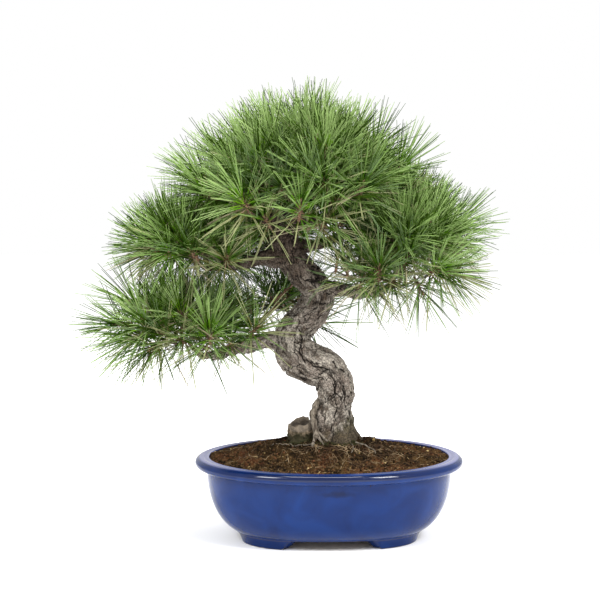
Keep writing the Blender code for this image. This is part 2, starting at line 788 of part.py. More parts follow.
def grow_needles(grown, draw, space):
    """The needles of all the masses, one on each shoot in turn, so that none crowds its neighbours out."""
    twigs = [twig for _, _, _, borne in grown for twig in borne]
    for _, stem, radius, _ in grown:
        space.add_line(stem.line, np.full(len(stem.line), radius), TWIG)
    for owner, twig in enumerate(twigs):
        twig.owner = owner
        twig.make_rings()
        space.add_line(twig.line, twig.radii(), owner)
        shoot_end = twig.line[-1] + twig.heading * RING_STEP * SHOOT_RINGS
        space.add(twig.line[-1], shoot_end, SHOOT_ROOM, owner)
    for index in range(len(shoot_faces())):
        for twig in twigs:
            draw_needle(twig, index, draw, space)
    print(len(twigs), "shoots", sum(len(twig.tips) for twig in twigs), "needles")


def make_masses():
    draw = random.Random(SEED)
    space = limbs_in_space()
    grown = grow_masses(draw, space)
    grow_needles(grown, draw, space)
    return [make_foliage(*each) for each in grown]


def stand_at_origin(things):
    """Hangs everything on one empty, placed so that the origin is under the middle of the whole."""
    corners = np.array([vertex.co for thing in things for vertex in thing.data.vertices])
    low, high = corners.min(axis=0), corners.max(axis=0)
    holder = bpy.data.objects.new("bonsai", None)
    bpy.context.scene.collection.objects.link(holder)
    holder.location = (-(low[0] + high[0]) / 2, -(low[1] + high[1]) / 2, -low[2])
    for thing in things:
        thing.parent = holder
    print("moved by", [round(value, 6) for value in holder.location], "size", (high - low).round(4))


def main():
    clear_scene()
    clearance = make_object("trunk_clearance", *loft(trunk_rings(GAP)))
    things = [make_pot(), make_soil(), make_trunk(), make_root_stub(clearance)]
    things += [make_bough(bough, clearance) for bough in BOUGHS]
    bpy.data.objects.remove(clearance, do_unlink=True)
    things += make_masses()
    stand_at_origin(things)


main()
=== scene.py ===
# %% [markdown]
# # An Aleppo pine bonsai in a blue oval pot
#
# The imported model already holds every part of this plant in its true place and size, but its solids are
# plain: a twelve-sided trunk, a faceted pot and a couple of thousand thick needles. This lesson gives each
# part the surface of the real thing. A reader who is new to Blender can follow it from top to bottom,
# because each cell makes one piece or one finish.
#
# The first step loads the imported model as a fixed frame. The middle of its pot's box is read, because the
# finished plant stands in the same place. The finished plant has to fill the same space.

import json
import math
import random

import bpy
import numpy as np
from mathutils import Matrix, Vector, noise

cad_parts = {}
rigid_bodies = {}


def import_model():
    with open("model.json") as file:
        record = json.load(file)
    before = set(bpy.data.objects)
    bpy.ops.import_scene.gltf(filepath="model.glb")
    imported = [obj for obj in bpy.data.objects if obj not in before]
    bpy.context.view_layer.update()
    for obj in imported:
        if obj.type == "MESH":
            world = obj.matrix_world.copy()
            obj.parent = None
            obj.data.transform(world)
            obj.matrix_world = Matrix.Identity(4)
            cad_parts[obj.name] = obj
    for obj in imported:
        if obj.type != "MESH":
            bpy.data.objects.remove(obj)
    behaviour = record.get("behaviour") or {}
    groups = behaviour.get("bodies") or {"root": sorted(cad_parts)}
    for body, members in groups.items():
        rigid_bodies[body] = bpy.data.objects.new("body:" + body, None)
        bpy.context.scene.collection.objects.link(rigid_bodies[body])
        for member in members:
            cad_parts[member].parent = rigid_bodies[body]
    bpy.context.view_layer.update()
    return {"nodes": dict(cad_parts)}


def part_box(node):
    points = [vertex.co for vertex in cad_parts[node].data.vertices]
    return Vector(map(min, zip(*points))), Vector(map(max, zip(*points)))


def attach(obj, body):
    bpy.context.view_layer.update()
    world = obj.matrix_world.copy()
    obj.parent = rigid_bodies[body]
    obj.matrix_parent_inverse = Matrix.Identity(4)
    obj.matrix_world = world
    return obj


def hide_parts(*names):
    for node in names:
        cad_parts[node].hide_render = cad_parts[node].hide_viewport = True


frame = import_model()
pot_low, pot_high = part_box("pot")
POT_MIDDLE = np.array([(pot_low.x + pot_high.x) / 2, (pot_low.y + pot_high.y) / 2, 0.0])
print("nodes", len(frame["nodes"]), "pot middle", POT_MIDDLE.round(4))

# %% [markdown]
# ## Node trees from Python
#
# A material or a Geometry Nodes tree is a graph, and a graph is tedious to write link by link. Two small
# classes keep the rest of the lesson short. A Wire is an output socket that can be added, multiplied or
# subtracted like a number, which adds Math nodes. Nodes has one method that adds any node: it sets the
# node's own settings first, and then fills its sockets with values or with wires.

# %% Wires and nodes
class Wire:
    """An output socket. Arithmetic on it adds Math nodes to its tree."""

    def __init__(self, nodes, socket):
        self.nodes = nodes
        self.socket = socket

    def math(self, operation, *values):
        return self.nodes.add("ShaderNodeMath", {"operation": operation}, dict(enumerate(values)))

    def __add__(self, other):
        return self.math("ADD", self, other)

    def __sub__(self, other):
        return self.math("SUBTRACT", self, other)

    def __rsub__(self, other):
        return self.math("SUBTRACT", other, self)

    def __mul__(self, other):
        return self.math("MULTIPLY", self, other)

    def __pow__(self, other):
        return self.math("POWER", self, other)

    __radd__ = __add__
    __rmul__ = __mul__


class Nodes:
    """A node tree filled by one method."""

    def __init__(self, tree):
        self.tree = tree

    def feed(self, socket, value):
        if isinstance(value, Wire):
            self.tree.links.new(value.socket, socket)
        else:
            socket.default_value = value

    def add(self, kind, settings=None, sockets=None, out=0):
        node = self.tree.nodes.new(kind)
        for name, value in (settings or {}).items():
            setattr(node, name, value)
        for key, value in (sockets or {}).items():
            self.feed(node.inputs[key], value)
        return Wire(self, node.outputs[out])


# %% [markdown]
# ## Finishes
#
# A finish is a material built round the Principled shader. Its patterns are worked out from the place on
# the object, so they look the same from every side and need no image. Most of them are cloudy noise, cut
# to a range by a ramp, and a few mark an oval or a band of heights. Numbers that are the same all over a
# surface go straight onto the shader's sockets.

# %% A finish
class Finish(Nodes):
    """One material, with the patterns that the finishes below share."""

    def __init__(self, name, colour, roughness, **others):
        self.material = bpy.data.materials.new(name)
        self.material.use_nodes = True
        self.material.diffuse_color = (*colour, 1.0)
        super().__init__(self.material.node_tree)
        self.shader = self.tree.nodes["Principled BSDF"]
        self.put("Base Color", (*colour, 1.0))
        self.put("Roughness", roughness)
        for key, value in others.items():
            self.put(key.replace("_", " "), value)

    def put(self, name, value):
        self.feed(self.shader.inputs[name], value)

    def place(self):
        return self.add("ShaderNodeTexCoord", out="Object")

    def stretched(self, scale):
        return self.add("ShaderNodeMapping", {}, {"Vector": self.place(), "Scale": scale})

    def noise(self, scale, detail=4.0, place=None, distortion=0.0):
        """Cloudy numbers round a half, with details of about one part in scale of a metre."""
        sockets = {"Vector": place or self.place(), "Scale": scale, "Detail": detail}
        sockets["Distortion"] = distortion
        return self.add("ShaderNodeTexNoise", {}, sockets)

    def ramp(self, value, low, high, start=0.0, end=1.0):
        """A number carried from low..high to start..end, and held at the ends."""
        return self.add("ShaderNodeMapRange", {}, {0: value, 1: low, 2: high, 3: start, 4: end})

    def axis(self, letter):
        return self.add("ShaderNodeSeparateXYZ", {}, {"Vector": self.place()}, out=letter)

    def attribute(self, name):
        return self.add("ShaderNodeAttribute", {"attribute_name": name}, out="Fac")

    def blend(self, share, first, second):
        """A colour between two others. A plain colour is three numbers."""
        ends = [value if isinstance(value, Wire) else (*value, 1.0) for value in (first, second)]
        sockets = {0: share, 6: ends[0], 7: ends[1]}
        return self.add("ShaderNodeMix", {"data_type": "RGBA"}, sockets, out=2)

    def mottle(self, pattern, low, high, dark, light):
        """A base colour that a pattern carries from dark, at low, to light, at high."""
        self.put("Base Color", self.blend(self.ramp(pattern, low, high), dark, light))

    def oval(self, letters, middle, half_sizes):
        """The square of the distance from the middle of an oval on two axes, which is 1 on its outline."""
        measures = zip(letters, middle, half_sizes)
        first, second = [(self.axis(letter) - at) * (1 / half) for letter, at, half in measures]
        return first * first + second * second

    def band(self, start, full, fading, end):
        """1 between two heights, which fades to 0 on either side of them."""
        return self.ramp(self.axis("Z"), start, full) * self.ramp(self.axis("Z"), end, fading)

    def bump(self, height, distance, strength=1.0):
        sockets = {"Height": height, "Distance": distance, "Strength": strength}
        self.put("Normal", self.add("ShaderNodeBump", {}, sockets))


# %% [markdown]
# ## Meshes from arrays
#
# The curved pieces here are skins over rows of rings, worked out as numpy arrays. One function turns such
# an array into closed triangles, and another hands the arrays to Blender in one go, which is far quicker
# than adding points one by one.

# %% Mesh helpers
def skin(rings):
    """Points and triangles of a closed skin over rings, which is an array of ring, corner and x, y, z."""
    count, sides = rings.shape[:2]
    here = np.arange(count - 1)[:, None] * sides + np.arange(sides)
    beside = np.roll(here, -1, axis=1)
    halves = ((here, beside, beside + sides), (here, beside + sides, here + sides))
    walls = [np.stack(corners, axis=-1).reshape(-1, 3) for corners in halves]
    corner = np.arange(sides)
    after = np.roll(corner, -1)
    last = (count - 1) * sides
    low_end = np.stack((after, corner, np.full(sides, count * sides)), axis=1)
    high_end = np.stack((corner + last, after + last, np.full(sides, count * sides + 1)), axis=1)
    points = np.concatenate((rings.reshape(-1, 3), [rings[0].mean(axis=0), rings[-1].mean(axis=0)]))
    return points, np.concatenate((*walls, low_end, high_end))


def joined(parts):
    """Several pairs of points and triangles as one pair."""
    points, faces, count = [], [], 0
    for part_points, part_faces in parts:
        points.append(part_points)
        faces.append(part_faces + count)
        count += len(part_points)
    return np.concatenate(points), np.concatenate(faces)


def mesh_from(name, points, faces):
    """A smooth mesh from an array of points and an array of triangles."""
    mesh = bpy.data.meshes.new(name)
    mesh.vertices.add(len(points))
    mesh.vertices.foreach_set("co", np.asarray(points, np.float32).ravel())
    mesh.loops.add(faces.size)
    mesh.loops.foreach_set("vertex_index", faces.astype(np.int32).ravel())
    mesh.polygons.add(len(faces))
    mesh.polygons.foreach_set("loop_start", np.arange(0, faces.size, 3, dtype=np.int32))
    mesh.update(calc_edges=True)
    mesh.shade_smooth()
    return mesh


def piece(name, mesh, finishes, replaced=(), body="root"):
    """A finished piece that rides on the plant's one body and stands for some nodes of the frame."""
    thing = bpy.data.objects.new(name, mesh)
    bpy.context.scene.collection.objects.link(thing)
    if not mesh.materials:
        for finish in finishes:
            mesh.materials.append(finish.material)
    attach(thing, body)
    if replaced:
        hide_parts(*replaced)
    triangles = sum(len(polygon.vertices) - 2 for polygon in mesh.polygons)
    print(name, triangles, "triangles")
    return thing


def keep_numbers(mesh, name, values):
    """Stores one number for each point, for a finish to read."""
    mesh.attributes.new(name, "FLOAT", "POINT").data.foreach_set("value", np.asarray(values, np.float32))


# %% [markdown]
# ## The pot
#
# The pot is slip-cast stoneware: an oval body that swells from four bracket feet, a narrow moulding under
# the lip, and a broad rounded lip. It could be carved from a block with Booleans, but its outline follows
# one rule at every height, nearly an ellipse at the rim and squarer at the feet, so a skin over level
# rings gives it exactly, with a smooth lip.

# %% Pot sizes
FULL_TURN = 2 * math.pi
POT_HEIGHT = 0.105
POT_HALF_LENGTH = 0.170
POT_TURN = math.radians(2.0)
POT_SIDES = 240
RIM_DEPTH_RATIO, FOOT_DEPTH_RATIO = 0.768, 0.660
RIM_SQUARENESS, FOOT_SQUARENESS = 2.05, 2.60
BODY_BOTTOM, BODY_BOTTOM_HALF_LENGTH = 0.012, 0.112
NECK_HEIGHT, NECK_HALF_LENGTH = 0.0905, 0.1550
BELLY_DROP, BELLY_POWER = 0.029, 2.3
TURN_IN, TURN_IN_HEIGHT = 0.0115, 0.008
LIP_HEIGHT, LIP_ROUND = 0.0138, 0.010
LIP_INNER = 0.1515
WALL = 0.007


def signed_power(values, power):
    """A power of numbers that keep their sign."""
    return np.sign(values) * np.abs(values) ** power


def outline_at(height):
    """The outline's depth as a share of its length, and how square it is, at one height."""
    low = 1 - height / POT_HEIGHT
    ratio = RIM_DEPTH_RATIO + (FOOT_DEPTH_RATIO - RIM_DEPTH_RATIO) * low
    return ratio, RIM_SQUARENESS + (FOOT_SQUARENESS - RIM_SQUARENESS) * low


def pot_outline(half_length, height, angles):
    """Points of the pot's level outline at one height."""
    ratio, squareness = outline_at(height)
    x = half_length * signed_power(np.cos(angles), 2 / squareness)
    y = half_length * ratio * signed_power(np.sin(angles), 2 / squareness)
    turn_cos, turn_sin = math.cos(POT_TURN), math.sin(POT_TURN)
    level = np.full_like(x, height)
    return np.stack((x * turn_cos - y * turn_sin, x * turn_sin + y * turn_cos, level), axis=-1) + POT_MIDDLE


def belly(height):
    """Half length of the outer wall."""
    part = min(1.0, max(0.0, (height - BODY_BOTTOM) / (NECK_HEIGHT - BODY_BOTTOM)))
    turned_in = TURN_IN * math.exp((BODY_BOTTOM - height) / TURN_IN_HEIGHT)
    return NECK_HALF_LENGTH - BELLY_DROP * (1 - part) ** BELLY_POWER - turned_in


print("pot", 2 * POT_HALF_LENGTH, "long and", POT_HEIGHT, "high")

# %% [markdown]
# The section of the wall runs from the middle of the underside, round the turned-in bottom, up the belly,
# over the half-round lip, and down inside to below the soil.

# %% Section of the wall
UNDERSIDE = (0.010, 0.090)
BOTTOM_ROUND, BELLY_START = 0.0028, 0.0006
LIP_DIP, LIP_INNER_ROUND, LIP_INNER_DROP = 0.0005, 0.0015, 0.002
LIP_INNER_FOOT = 0.1000
INSIDE_HEIGHTS = (0.096, 0.090, 0.080)


def wall_section():
    """Half lengths and heights of the pot's section."""
    bottom, turned_top = BODY_BOTTOM_HALF_LENGTH, BODY_BOTTOM + BOTTOM_ROUND
    rows = [(half, BODY_BOTTOM) for half in (*UNDERSIDE, bottom)]
    for part in np.linspace(0.15, 1, 8):
        swing = part * math.pi / 2
        half = bottom + (belly(turned_top) - bottom) * math.sin(swing)
        rows.append((half, BODY_BOTTOM + (turned_top - BODY_BOTTOM) * (1 - math.cos(swing))))
    rows += [(belly(height), height) for height in np.linspace(turned_top + BELLY_START, NECK_HEIGHT, 60)]
    for degrees in np.linspace(-90, 90, 26):
        angle = math.radians(degrees)
        half = POT_HALF_LENGTH - LIP_ROUND * (1 - math.cos(angle))
        rows.append((half, POT_HEIGHT - LIP_HEIGHT * (1 - math.sin(angle)) / 2))
    flat = LIP_INNER + LIP_INNER_ROUND - POT_HALF_LENGTH + LIP_ROUND
    for part in np.linspace(0.1, 1, 10):
        dip = LIP_DIP * math.sin(part * math.pi)
        rows.append((POT_HALF_LENGTH - LIP_ROUND + flat * part, POT_HEIGHT - dip))
    for part in np.linspace(0.2, 1, 5):
        swing = part * math.pi / 2
        half = LIP_INNER + LIP_INNER_ROUND * (1 - math.sin(swing))
        rows.append((half, POT_HEIGHT - LIP_INNER_DROP * (1 - math.cos(swing))))
    rows.append((LIP_INNER, LIP_INNER_FOOT))
    rows += [(belly(height) - WALL, height) for height in INSIDE_HEIGHTS]
    return rows


print("rings of the wall", len(wall_section()))

# %% [markdown]
# Each foot is a second skin that follows the same outline. Its outer face sweeps out to run on into the
# body, as a bracket foot does, and its ends curve up into the bottom edge. One foot is worked out, and the
# other three are its mirror images.

# %% Body and feet of the pot
FOOT_HALF_LENGTH, FOOT_TOP, FOOT_WIDTH = 0.112, 0.0160, 0.016
FOOT_PROFILE = (
    (0.0, 0.0),
    (0.0009, 0.0004),
    (0.004, 0.0014),
    (0.008, 0.0030),
    (0.012, 0.0052),
    (0.016, 0.0080),
)
FOOT_TOE = 0.0008
END_CURVE = 2.2
FRONT_GAP_AT_FLOOR, FRONT_GAP_AT_TOP = 0.124, 0.092
SIDE_GAP_AT_FLOOR, SIDE_GAP_AT_TOP = 0.050, 0.036
POT_CREASE = math.radians(38)


def foot_angles(half_length, height, front_gap, side_gap):
    """First and last outline angles of a foot at one height."""
    ratio, squareness = outline_at(height)
    first = math.asin((side_gap / 2 / half_length / ratio) ** (squareness / 2))
    return first, math.acos((front_gap / 2 / half_length) ** (squareness / 2))


def foot_section():
    """Half length and height round a foot's section, anticlockwise seen from its first end."""
    heights, flares = zip(*FOOT_PROFILE)
    outer = []
    for level in np.linspace(1, 0.04, 12):
        height = FOOT_TOP * level
        outer.append((FOOT_HALF_LENGTH + np.interp(height, heights, flares), height))
    inner = FOOT_HALF_LENGTH - FOOT_WIDTH
    return [(inner, 0.0), (inner, FOOT_TOP), *outer, (FOOT_HALF_LENGTH - FOOT_TOE, 0.0)]


def foot_rings(mirror_x, mirror_y):
    """Rings of one foot, whose order keeps its faces outwards when it is mirrored once."""
    low = foot_angles(FOOT_HALF_LENGTH, 0.0, FRONT_GAP_AT_FLOOR, SIDE_GAP_AT_FLOOR)
    high = foot_angles(FOOT_HALF_LENGTH + FOOT_PROFILE[-1][1], FOOT_TOP, FRONT_GAP_AT_TOP, SIDE_GAP_AT_TOP)
    rings = []
    for part in np.linspace(0, 1, 40):
        ring = []
        for half, height in foot_section():
            level = height / FOOT_TOP
            first = low[0] + (high[0] - low[0]) * level**END_CURVE
            last = low[1] + (high[1] - low[1]) * level**END_CURVE
            angle = first + (last - first) * part
            angle = math.pi - angle if mirror_x else angle
            angle = -angle if mirror_y else angle
            ring.append(pot_outline(half, height, np.array([angle]))[0])
        rings.append(ring)
    return np.array(rings[::-1] if mirror_x != mirror_y else rings)


angles = np.linspace(0, FULL_TURN, POT_SIDES, endpoint=False)
body_rings = np.array([pot_outline(half, height, angles) for half, height in wall_section()])
pot_parts = [skin(body_rings)]
for mirror_x in (False, True):
    pot_parts += [skin(foot_rings(mirror_x, mirror_y)) for mirror_y in (False, True)]
pot_mesh = mesh_from("pot_glazed", *joined(pot_parts))
pot_mesh.set_sharp_from_angle(angle=POT_CREASE)
print("points of the pot", len(pot_mesh.vertices))

# %% [markdown]
# Cobalt glaze is a layer of coloured glass over the clay. It pools a little darker in some places and has
# tiny pits, so the base colour, the roughness and the bump each get a faint pattern. The front of the lip
# is painted nearly black, as painted shade and a painted dark reflection, the crease under it gets painted
# shade, and the glaze has one darker smear on the front. The top edge of the lip gets a pale lavender
# painted reflection of the white surround at the sides and the back, and the glaze lets the brown clay
# through on the bottom edge and the toes of the feet. A clear coat sharpens what the lip reflects. A narrow
# band on the feet and the whole underside stay unglazed, because the pot would stick to the kiln shelf there.

# %% Glaze and bare clay
DEEP_COBALT = (0.0024, 0.0140, 0.076)
MID_COBALT = (0.0040, 0.0228, 0.114)
LIP_SHADE_COBALT = (0.0012, 0.0050, 0.030)
RIM_REFLECTION_LAVENDER = (0.165, 0.170, 0.305)
THIN_BROWN = (0.050, 0.045, 0.070)
SMEAR_BLUE = (0.003, 0.008, 0.036)
SMEAR_AT = (0.010 + POT_MIDDLE[0], 0.0795)
SMEAR_SIZE = (0.023, 0.0040)
LIP_BAND = (0.0964, 0.0984, 0.1038, 0.1046)
CREASE_SHADE_BAND = (0.0896, 0.0906, 0.0916, 0.0928)
BOTTOM_EDGE_BAND = (0.0112, 0.0120, 0.0122, 0.0135)
TOP_EDGE = (0.1038, 0.1047)
TOES = (0.0016, 0.0006)
UNGLAZED_UP_TO, UNDERSIDE_UP_TO = 0.0004, BODY_BOTTOM + 0.0005

glaze = Finish("cobalt_glaze", MID_COBALT, 0.13, Specular_IOR_Level=0.145)
pooled = glaze.ramp(glaze.noise(22.0, 6.0, distortion=0.8), 0.34, 0.66)
colour = glaze.blend(pooled, DEEP_COBALT, MID_COBALT)
back = glaze.axis("Y") - POT_MIDDLE[1]
ragged = glaze.oval("XZ", SMEAR_AT, SMEAR_SIZE) + glaze.noise(120.0) * 2.4
smear = glaze.ramp(ragged, 1.1, 2.5, 0.85, 0.0) * glaze.ramp(back, -0.03, 0.0, 1.0, 0.0)
colour = glaze.blend(smear, colour, SMEAR_BLUE)
lip = glaze.band(*LIP_BAND)
in_front = glaze.ramp(back, -0.112, -0.070, 1.0, 0.30)
# painted shade and a painted dark reflection darken the front of the lip and the crease under it
colour = glaze.blend((lip * 0.9 + glaze.band(*CREASE_SHADE_BAND) * 0.5) * in_front, colour, LIP_SHADE_COBALT)
# painted reflection: the white surround seen in the lip's top edge, a pale lavender, at the sides and the
# back
reflection_at_side = glaze.ramp(back, -0.100, -0.055, 0.0, 0.9)
colour = glaze.blend(glaze.ramp(glaze.axis("Z"), *TOP_EDGE) * reflection_at_side, colour, RIM_REFLECTION_LAVENDER)
edge = glaze.band(*BOTTOM_EDGE_BAND) * 0.6 + glaze.ramp(glaze.axis("Z"), *TOES) * 0.7
glaze.put("Base Color", glaze.blend(edge, colour, THIN_BROWN))
glaze.put("Coat Weight", lip * in_front * 0.34)
glaze.put("Coat Roughness", 0.04)
pits = glaze.ramp(glaze.noise(900.0, 2.0), 0.60, 0.72)
glaze.put("Roughness", glaze.ramp(glaze.noise(40.0), 0.3, 0.7, 0.05, 0.12) - lip * 0.025)
glaze.bump(glaze.noise(26.0, 3.0) - pits * 0.12, 0.0006, 0.50)

clay = Finish("bare_clay", (0.075, 0.045, 0.030), 0.85)
clay.put("Base Color", clay.blend(clay.noise(220.0), (0.045, 0.028, 0.020), (0.120, 0.075, 0.050)))
clay.bump(clay.noise(700.0), 0.0004)

piece("pot_glazed", pot_mesh, (glaze, clay), ["pot"])
for polygon in pot_mesh.polygons:
    underneath = polygon.normal.z < -0.9 and polygon.center.z < UNDERSIDE_UP_TO
    polygon.material_index = 1 if underneath or polygon.center.z < UNGLAZED_UP_TO else 0

# %% [markdown]
# ## The soil
#
# The pot is filled with a dark granular mix that is mounded under the trunk. Its surface is a polar grid.
# It is level in an oval seat round the trunk and the stump, falls from there to the wall, is heaped a
# little more round both of them, and is roughened by clods of four sizes. A sculpted surface would do as
# well, but a rule keeps the edge exactly against the pot.

# %% Soil surface
GROUND = 0.1207
SOIL_EDGE = 0.1026
SEAT_CENTRE = (-0.012, -0.004)
SEAT_RADII = (0.070, 0.046)
SEAT_PART = 0.34
SOIL_ROWS, SOIL_SIDES, SOIL_THICKNESS, SOIL_INTO_WALL = 90, 260, 0.012, 0.0004
CLODS = ((0.030, 0.0038), (0.012, 0.0030), (0.0050, 0.0026), (0.0023, 0.0015))
MOUNDS = (((0.006, 0.000), 0.046, 0.0064), ((-0.040, -0.008), 0.024, 0.0050))


def clod_height(x, y):
    """How far the clods lift or lower the soil at a place."""
    return sum(height * noise.noise(Vector((x / size, y / size, 7.0 * size))) for size, height in CLODS)


def mound_height(x, y):
    """How much the soil is heaped up round the trunk and the stump."""
    apart = [math.hypot(x - POT_MIDDLE[0] - place[0], y - POT_MIDDLE[1] - place[1]) for place, _, _ in MOUNDS]
    return sum(height * math.exp(-((far / size) ** 2)) for far, (_, size, height) in zip(apart, MOUNDS))


def soil_place(part, angle):
    """A point of the soil's surface: part runs from 0 at its middle to 1 at the wall."""
    wall = pot_outline(LIP_INNER + SOIL_INTO_WALL, SOIL_EDGE, np.array([angle]))[0]
    seat_x = POT_MIDDLE[0] + SEAT_CENTRE[0] + SEAT_RADII[0] * math.cos(angle)
    seat_y = POT_MIDDLE[1] + SEAT_CENTRE[1] + SEAT_RADII[1] * math.sin(angle)
    if part < SEAT_PART:
        inner = part / SEAT_PART
        x = POT_MIDDLE[0] + SEAT_CENTRE[0] + (seat_x - POT_MIDDLE[0] - SEAT_CENTRE[0]) * inner
        y = POT_MIDDLE[1] + SEAT_CENTRE[1] + (seat_y - POT_MIDDLE[1] - SEAT_CENTRE[1]) * inner
        height = GROUND
    else:
        outer = (part - SEAT_PART) / (1 - SEAT_PART)
        x = seat_x + (wall[0] - seat_x) * outer
        y = seat_y + (wall[1] - seat_y) * outer
        height = GROUND - (GROUND - SOIL_EDGE) * math.sin(outer * math.pi / 2)
    return x, y, height + mound_height(x, y) + clod_height(x, y) * min(1.0, 0.25 + 6 * (1 - part))


def soil_mesh():
    """The surface, with a hidden skirt and underside that close it below the edge."""
    turns = np.linspace(0, FULL_TURN, SOIL_SIDES, endpoint=False)
    parts = np.linspace(1.0, 0.01, SOIL_ROWS)
    rings = np.array([[soil_place(part, turn) for turn in turns] for part in parts])
    under = rings[:1] - (0.0, 0.0, SOIL_THICKNESS)
    return mesh_from("soil_surface", *skin(np.concatenate((under, rings))))


# %% [markdown]
# The soil is damp and shaded round the foot of the trunk, so its finish is darker there. Away from it,
# paler and rustier patches show where bark and dry wood are mixed in. The crumbs on it are shaded by the
# same function.

# %% Soil finish
SHADED_MIDDLE = (POT_MIDDLE[0], POT_MIDDLE[1] - 0.010)
SHADED_HALF_SIZES = (0.085, 0.055)
SHADED_SHARE = 0.78


def near_trunk(finish):
    """How shaded the soil is: most round the foot of the trunk, and 0 towards the wall of the pot."""
    ragged = finish.oval("XY", SHADED_MIDDLE, SHADED_HALF_SIZES) + finish.noise(60.0, 3.0) * 0.8
    return finish.ramp(ragged, 0.9, 1.8, 1.0, 0.0) * SHADED_SHARE


soil = Finish("dark_soil", (0.040, 0.022, 0.012), 0.95, Specular_IOR_Level=0.06)
patches = soil.ramp(soil.noise(70.0, 6.0), 0.38, 0.64)
damp_and_shade = soil.blend(patches, (0.005, 0.0028, 0.0012), (0.062, 0.034, 0.012))
rusty = soil.ramp(soil.noise(24.0, 4.0), 0.50, 0.64) * 0.55
damp_and_shade = soil.blend(rusty, damp_and_shade, (0.090, 0.034, 0.015))
damp_and_shade = soil.blend(soil.ramp(soil.noise(380.0, 3.0), 0.54, 0.68), damp_and_shade, (0.130, 0.082, 0.038))
# painted shade: dark spots stand for the shadow in the gaps between the clods
gap_shade = soil.ramp(soil.noise(240.0, 4.0), 0.46, 0.36) * 0.9
damp_and_shade = soil.blend(gap_shade, damp_and_shade, (0.004, 0.0025, 0.0015))
soil.put("Base Color", soil.blend(near_trunk(soil), damp_and_shade, (0.006, 0.0040, 0.0018)))
soil.bump(soil.noise(650.0, 6.0) + soil.noise(210.0) * 0.8, 0.0022)
soil_piece = piece("soil_surface", soil_mesh(), (soil,), ["soil"])
print("soil from", round(SOIL_EDGE, 3), "to", GROUND)

# %% [markdown]
# ## Crumbs on the soil
#
# Loose crumbs, wood chips and pale grit lie on the soil in their thousands. This is what Geometry Nodes
# are for: points are strewn over the surface, a small rough stone is placed on each, turned and stretched
# at random, and the copies are made real. The tree has named inputs, so that one tree strews every sort.

# %% Geometry Nodes helpers
class Tree(Nodes):
    """A Geometry Nodes tree with named inputs."""

    def __init__(self, name, inputs):
        super().__init__(bpy.data.node_groups.new(name, "GeometryNodeTree"))
        self.tree.interface.new_socket("Geometry", in_out="INPUT", socket_type="NodeSocketGeometry")
        for label, kind in inputs.items():
            self.tree.interface.new_socket(label, in_out="INPUT", socket_type="NodeSocket" + kind)
        self.tree.interface.new_socket("Geometry", in_out="OUTPUT", socket_type="NodeSocketGeometry")
        self.entry = self.tree.nodes.new("NodeGroupInput")

    def input(self, label):
        return Wire(self, self.entry.outputs[label])

    def named(self, name, kind="FLOAT"):
        return self.add("GeometryNodeInputNamedAttribute", {"data_type": kind}, {"Name": name})

    def end(self, wire):
        exit_node = self.tree.nodes.new("NodeGroupOutput")
        self.feed(exit_node.inputs["Geometry"], wire)


def run_tree(tree, mesh, values, name):
    """The mesh that a tree makes from another mesh. The helper object is removed."""
    helper = bpy.data.objects.new(name, mesh)
    bpy.context.scene.collection.objects.link(helper)
    modifier = helper.modifiers.new("tree", "NODES")
    modifier.node_group = tree.tree
    for item in tree.tree.interface.items_tree:
        if item.in_out == "INPUT" and item.name in values:
            modifier[item.identifier] = values[item.name]
    bpy.context.view_layer.update()
    graph = bpy.context.evaluated_depsgraph_get()
    made = bpy.data.meshes.new_from_object(helper.evaluated_get(graph))
    made.name = name
    helper.modifiers.clear()
    bpy.data.objects.remove(helper)
    return made


# %% Strewing tree
def strewing_tree():
    inputs = {"Crumbs per Square Metre": "Float", "Smallest": "Vector", "Largest": "Vector"}
    inputs.update({"Seed": "Int", "Finish": "Material"})
    tree = Tree("strewn_crumbs", inputs)
    strewn = {"Mesh": tree.input("Geometry"), "Seed": tree.input("Seed")}
    strewn["Density"] = tree.input("Crumbs per Square Metre")
    points = tree.add("GeometryNodeDistributePointsOnFaces", {}, strewn)
    stone = tree.add("GeometryNodeMeshIcoSphere", {}, {"Radius": 1.0, "Subdivisions": 1})
    dents = tree.add("ShaderNodeTexNoise", {}, {"Scale": 1.3, "Detail": 1.0}, out="Color")
    dents = tree.add("ShaderNodeVectorMath", {"operation": "SUBTRACT"}, {0: dents, 1: (0.5, 0.5, 0.5)})
    dented = tree.add("GeometryNodeSetPosition", {}, {"Geometry": stone, "Offset": dents})
    turn = {"Min": (-3.2, -3.2, -3.2), "Max": (3.2, 3.2, 3.2), "Seed": tree.input("Seed")}
    turns = tree.add("FunctionNodeRandomValue", {"data_type": "FLOAT_VECTOR"}, turn)
    size = {"Min": tree.input("Smallest"), "Max": tree.input("Largest"), "Seed": tree.input("Seed")}
    sizes = tree.add("FunctionNodeRandomValue", {"data_type": "FLOAT_VECTOR"}, size)
    placed = {"Points": points, "Instance": dented, "Rotation": turns, "Scale": sizes}
    stones = tree.add("GeometryNodeInstanceOnPoints", {}, placed)
    real = tree.add("GeometryNodeRealizeInstances", {}, {"Geometry": stones})
    tree.end(tree.add("GeometryNodeSetMaterial", {}, {"Geometry": real, "Material": tree.input("Finish")}))
    return tree


strewing = strewing_tree()
print("nodes of the strewing tree", len(strewing.tree.nodes))

# %% [markdown]
# Five sorts of crumb are strewn: dark lumps, smaller brown crumbs, reddish bark, pale wood and grit. Each
# row says how many there are on a square metre, the least and the most of their three sizes in
# millimetres, and a dark and a light colour that noise blends.

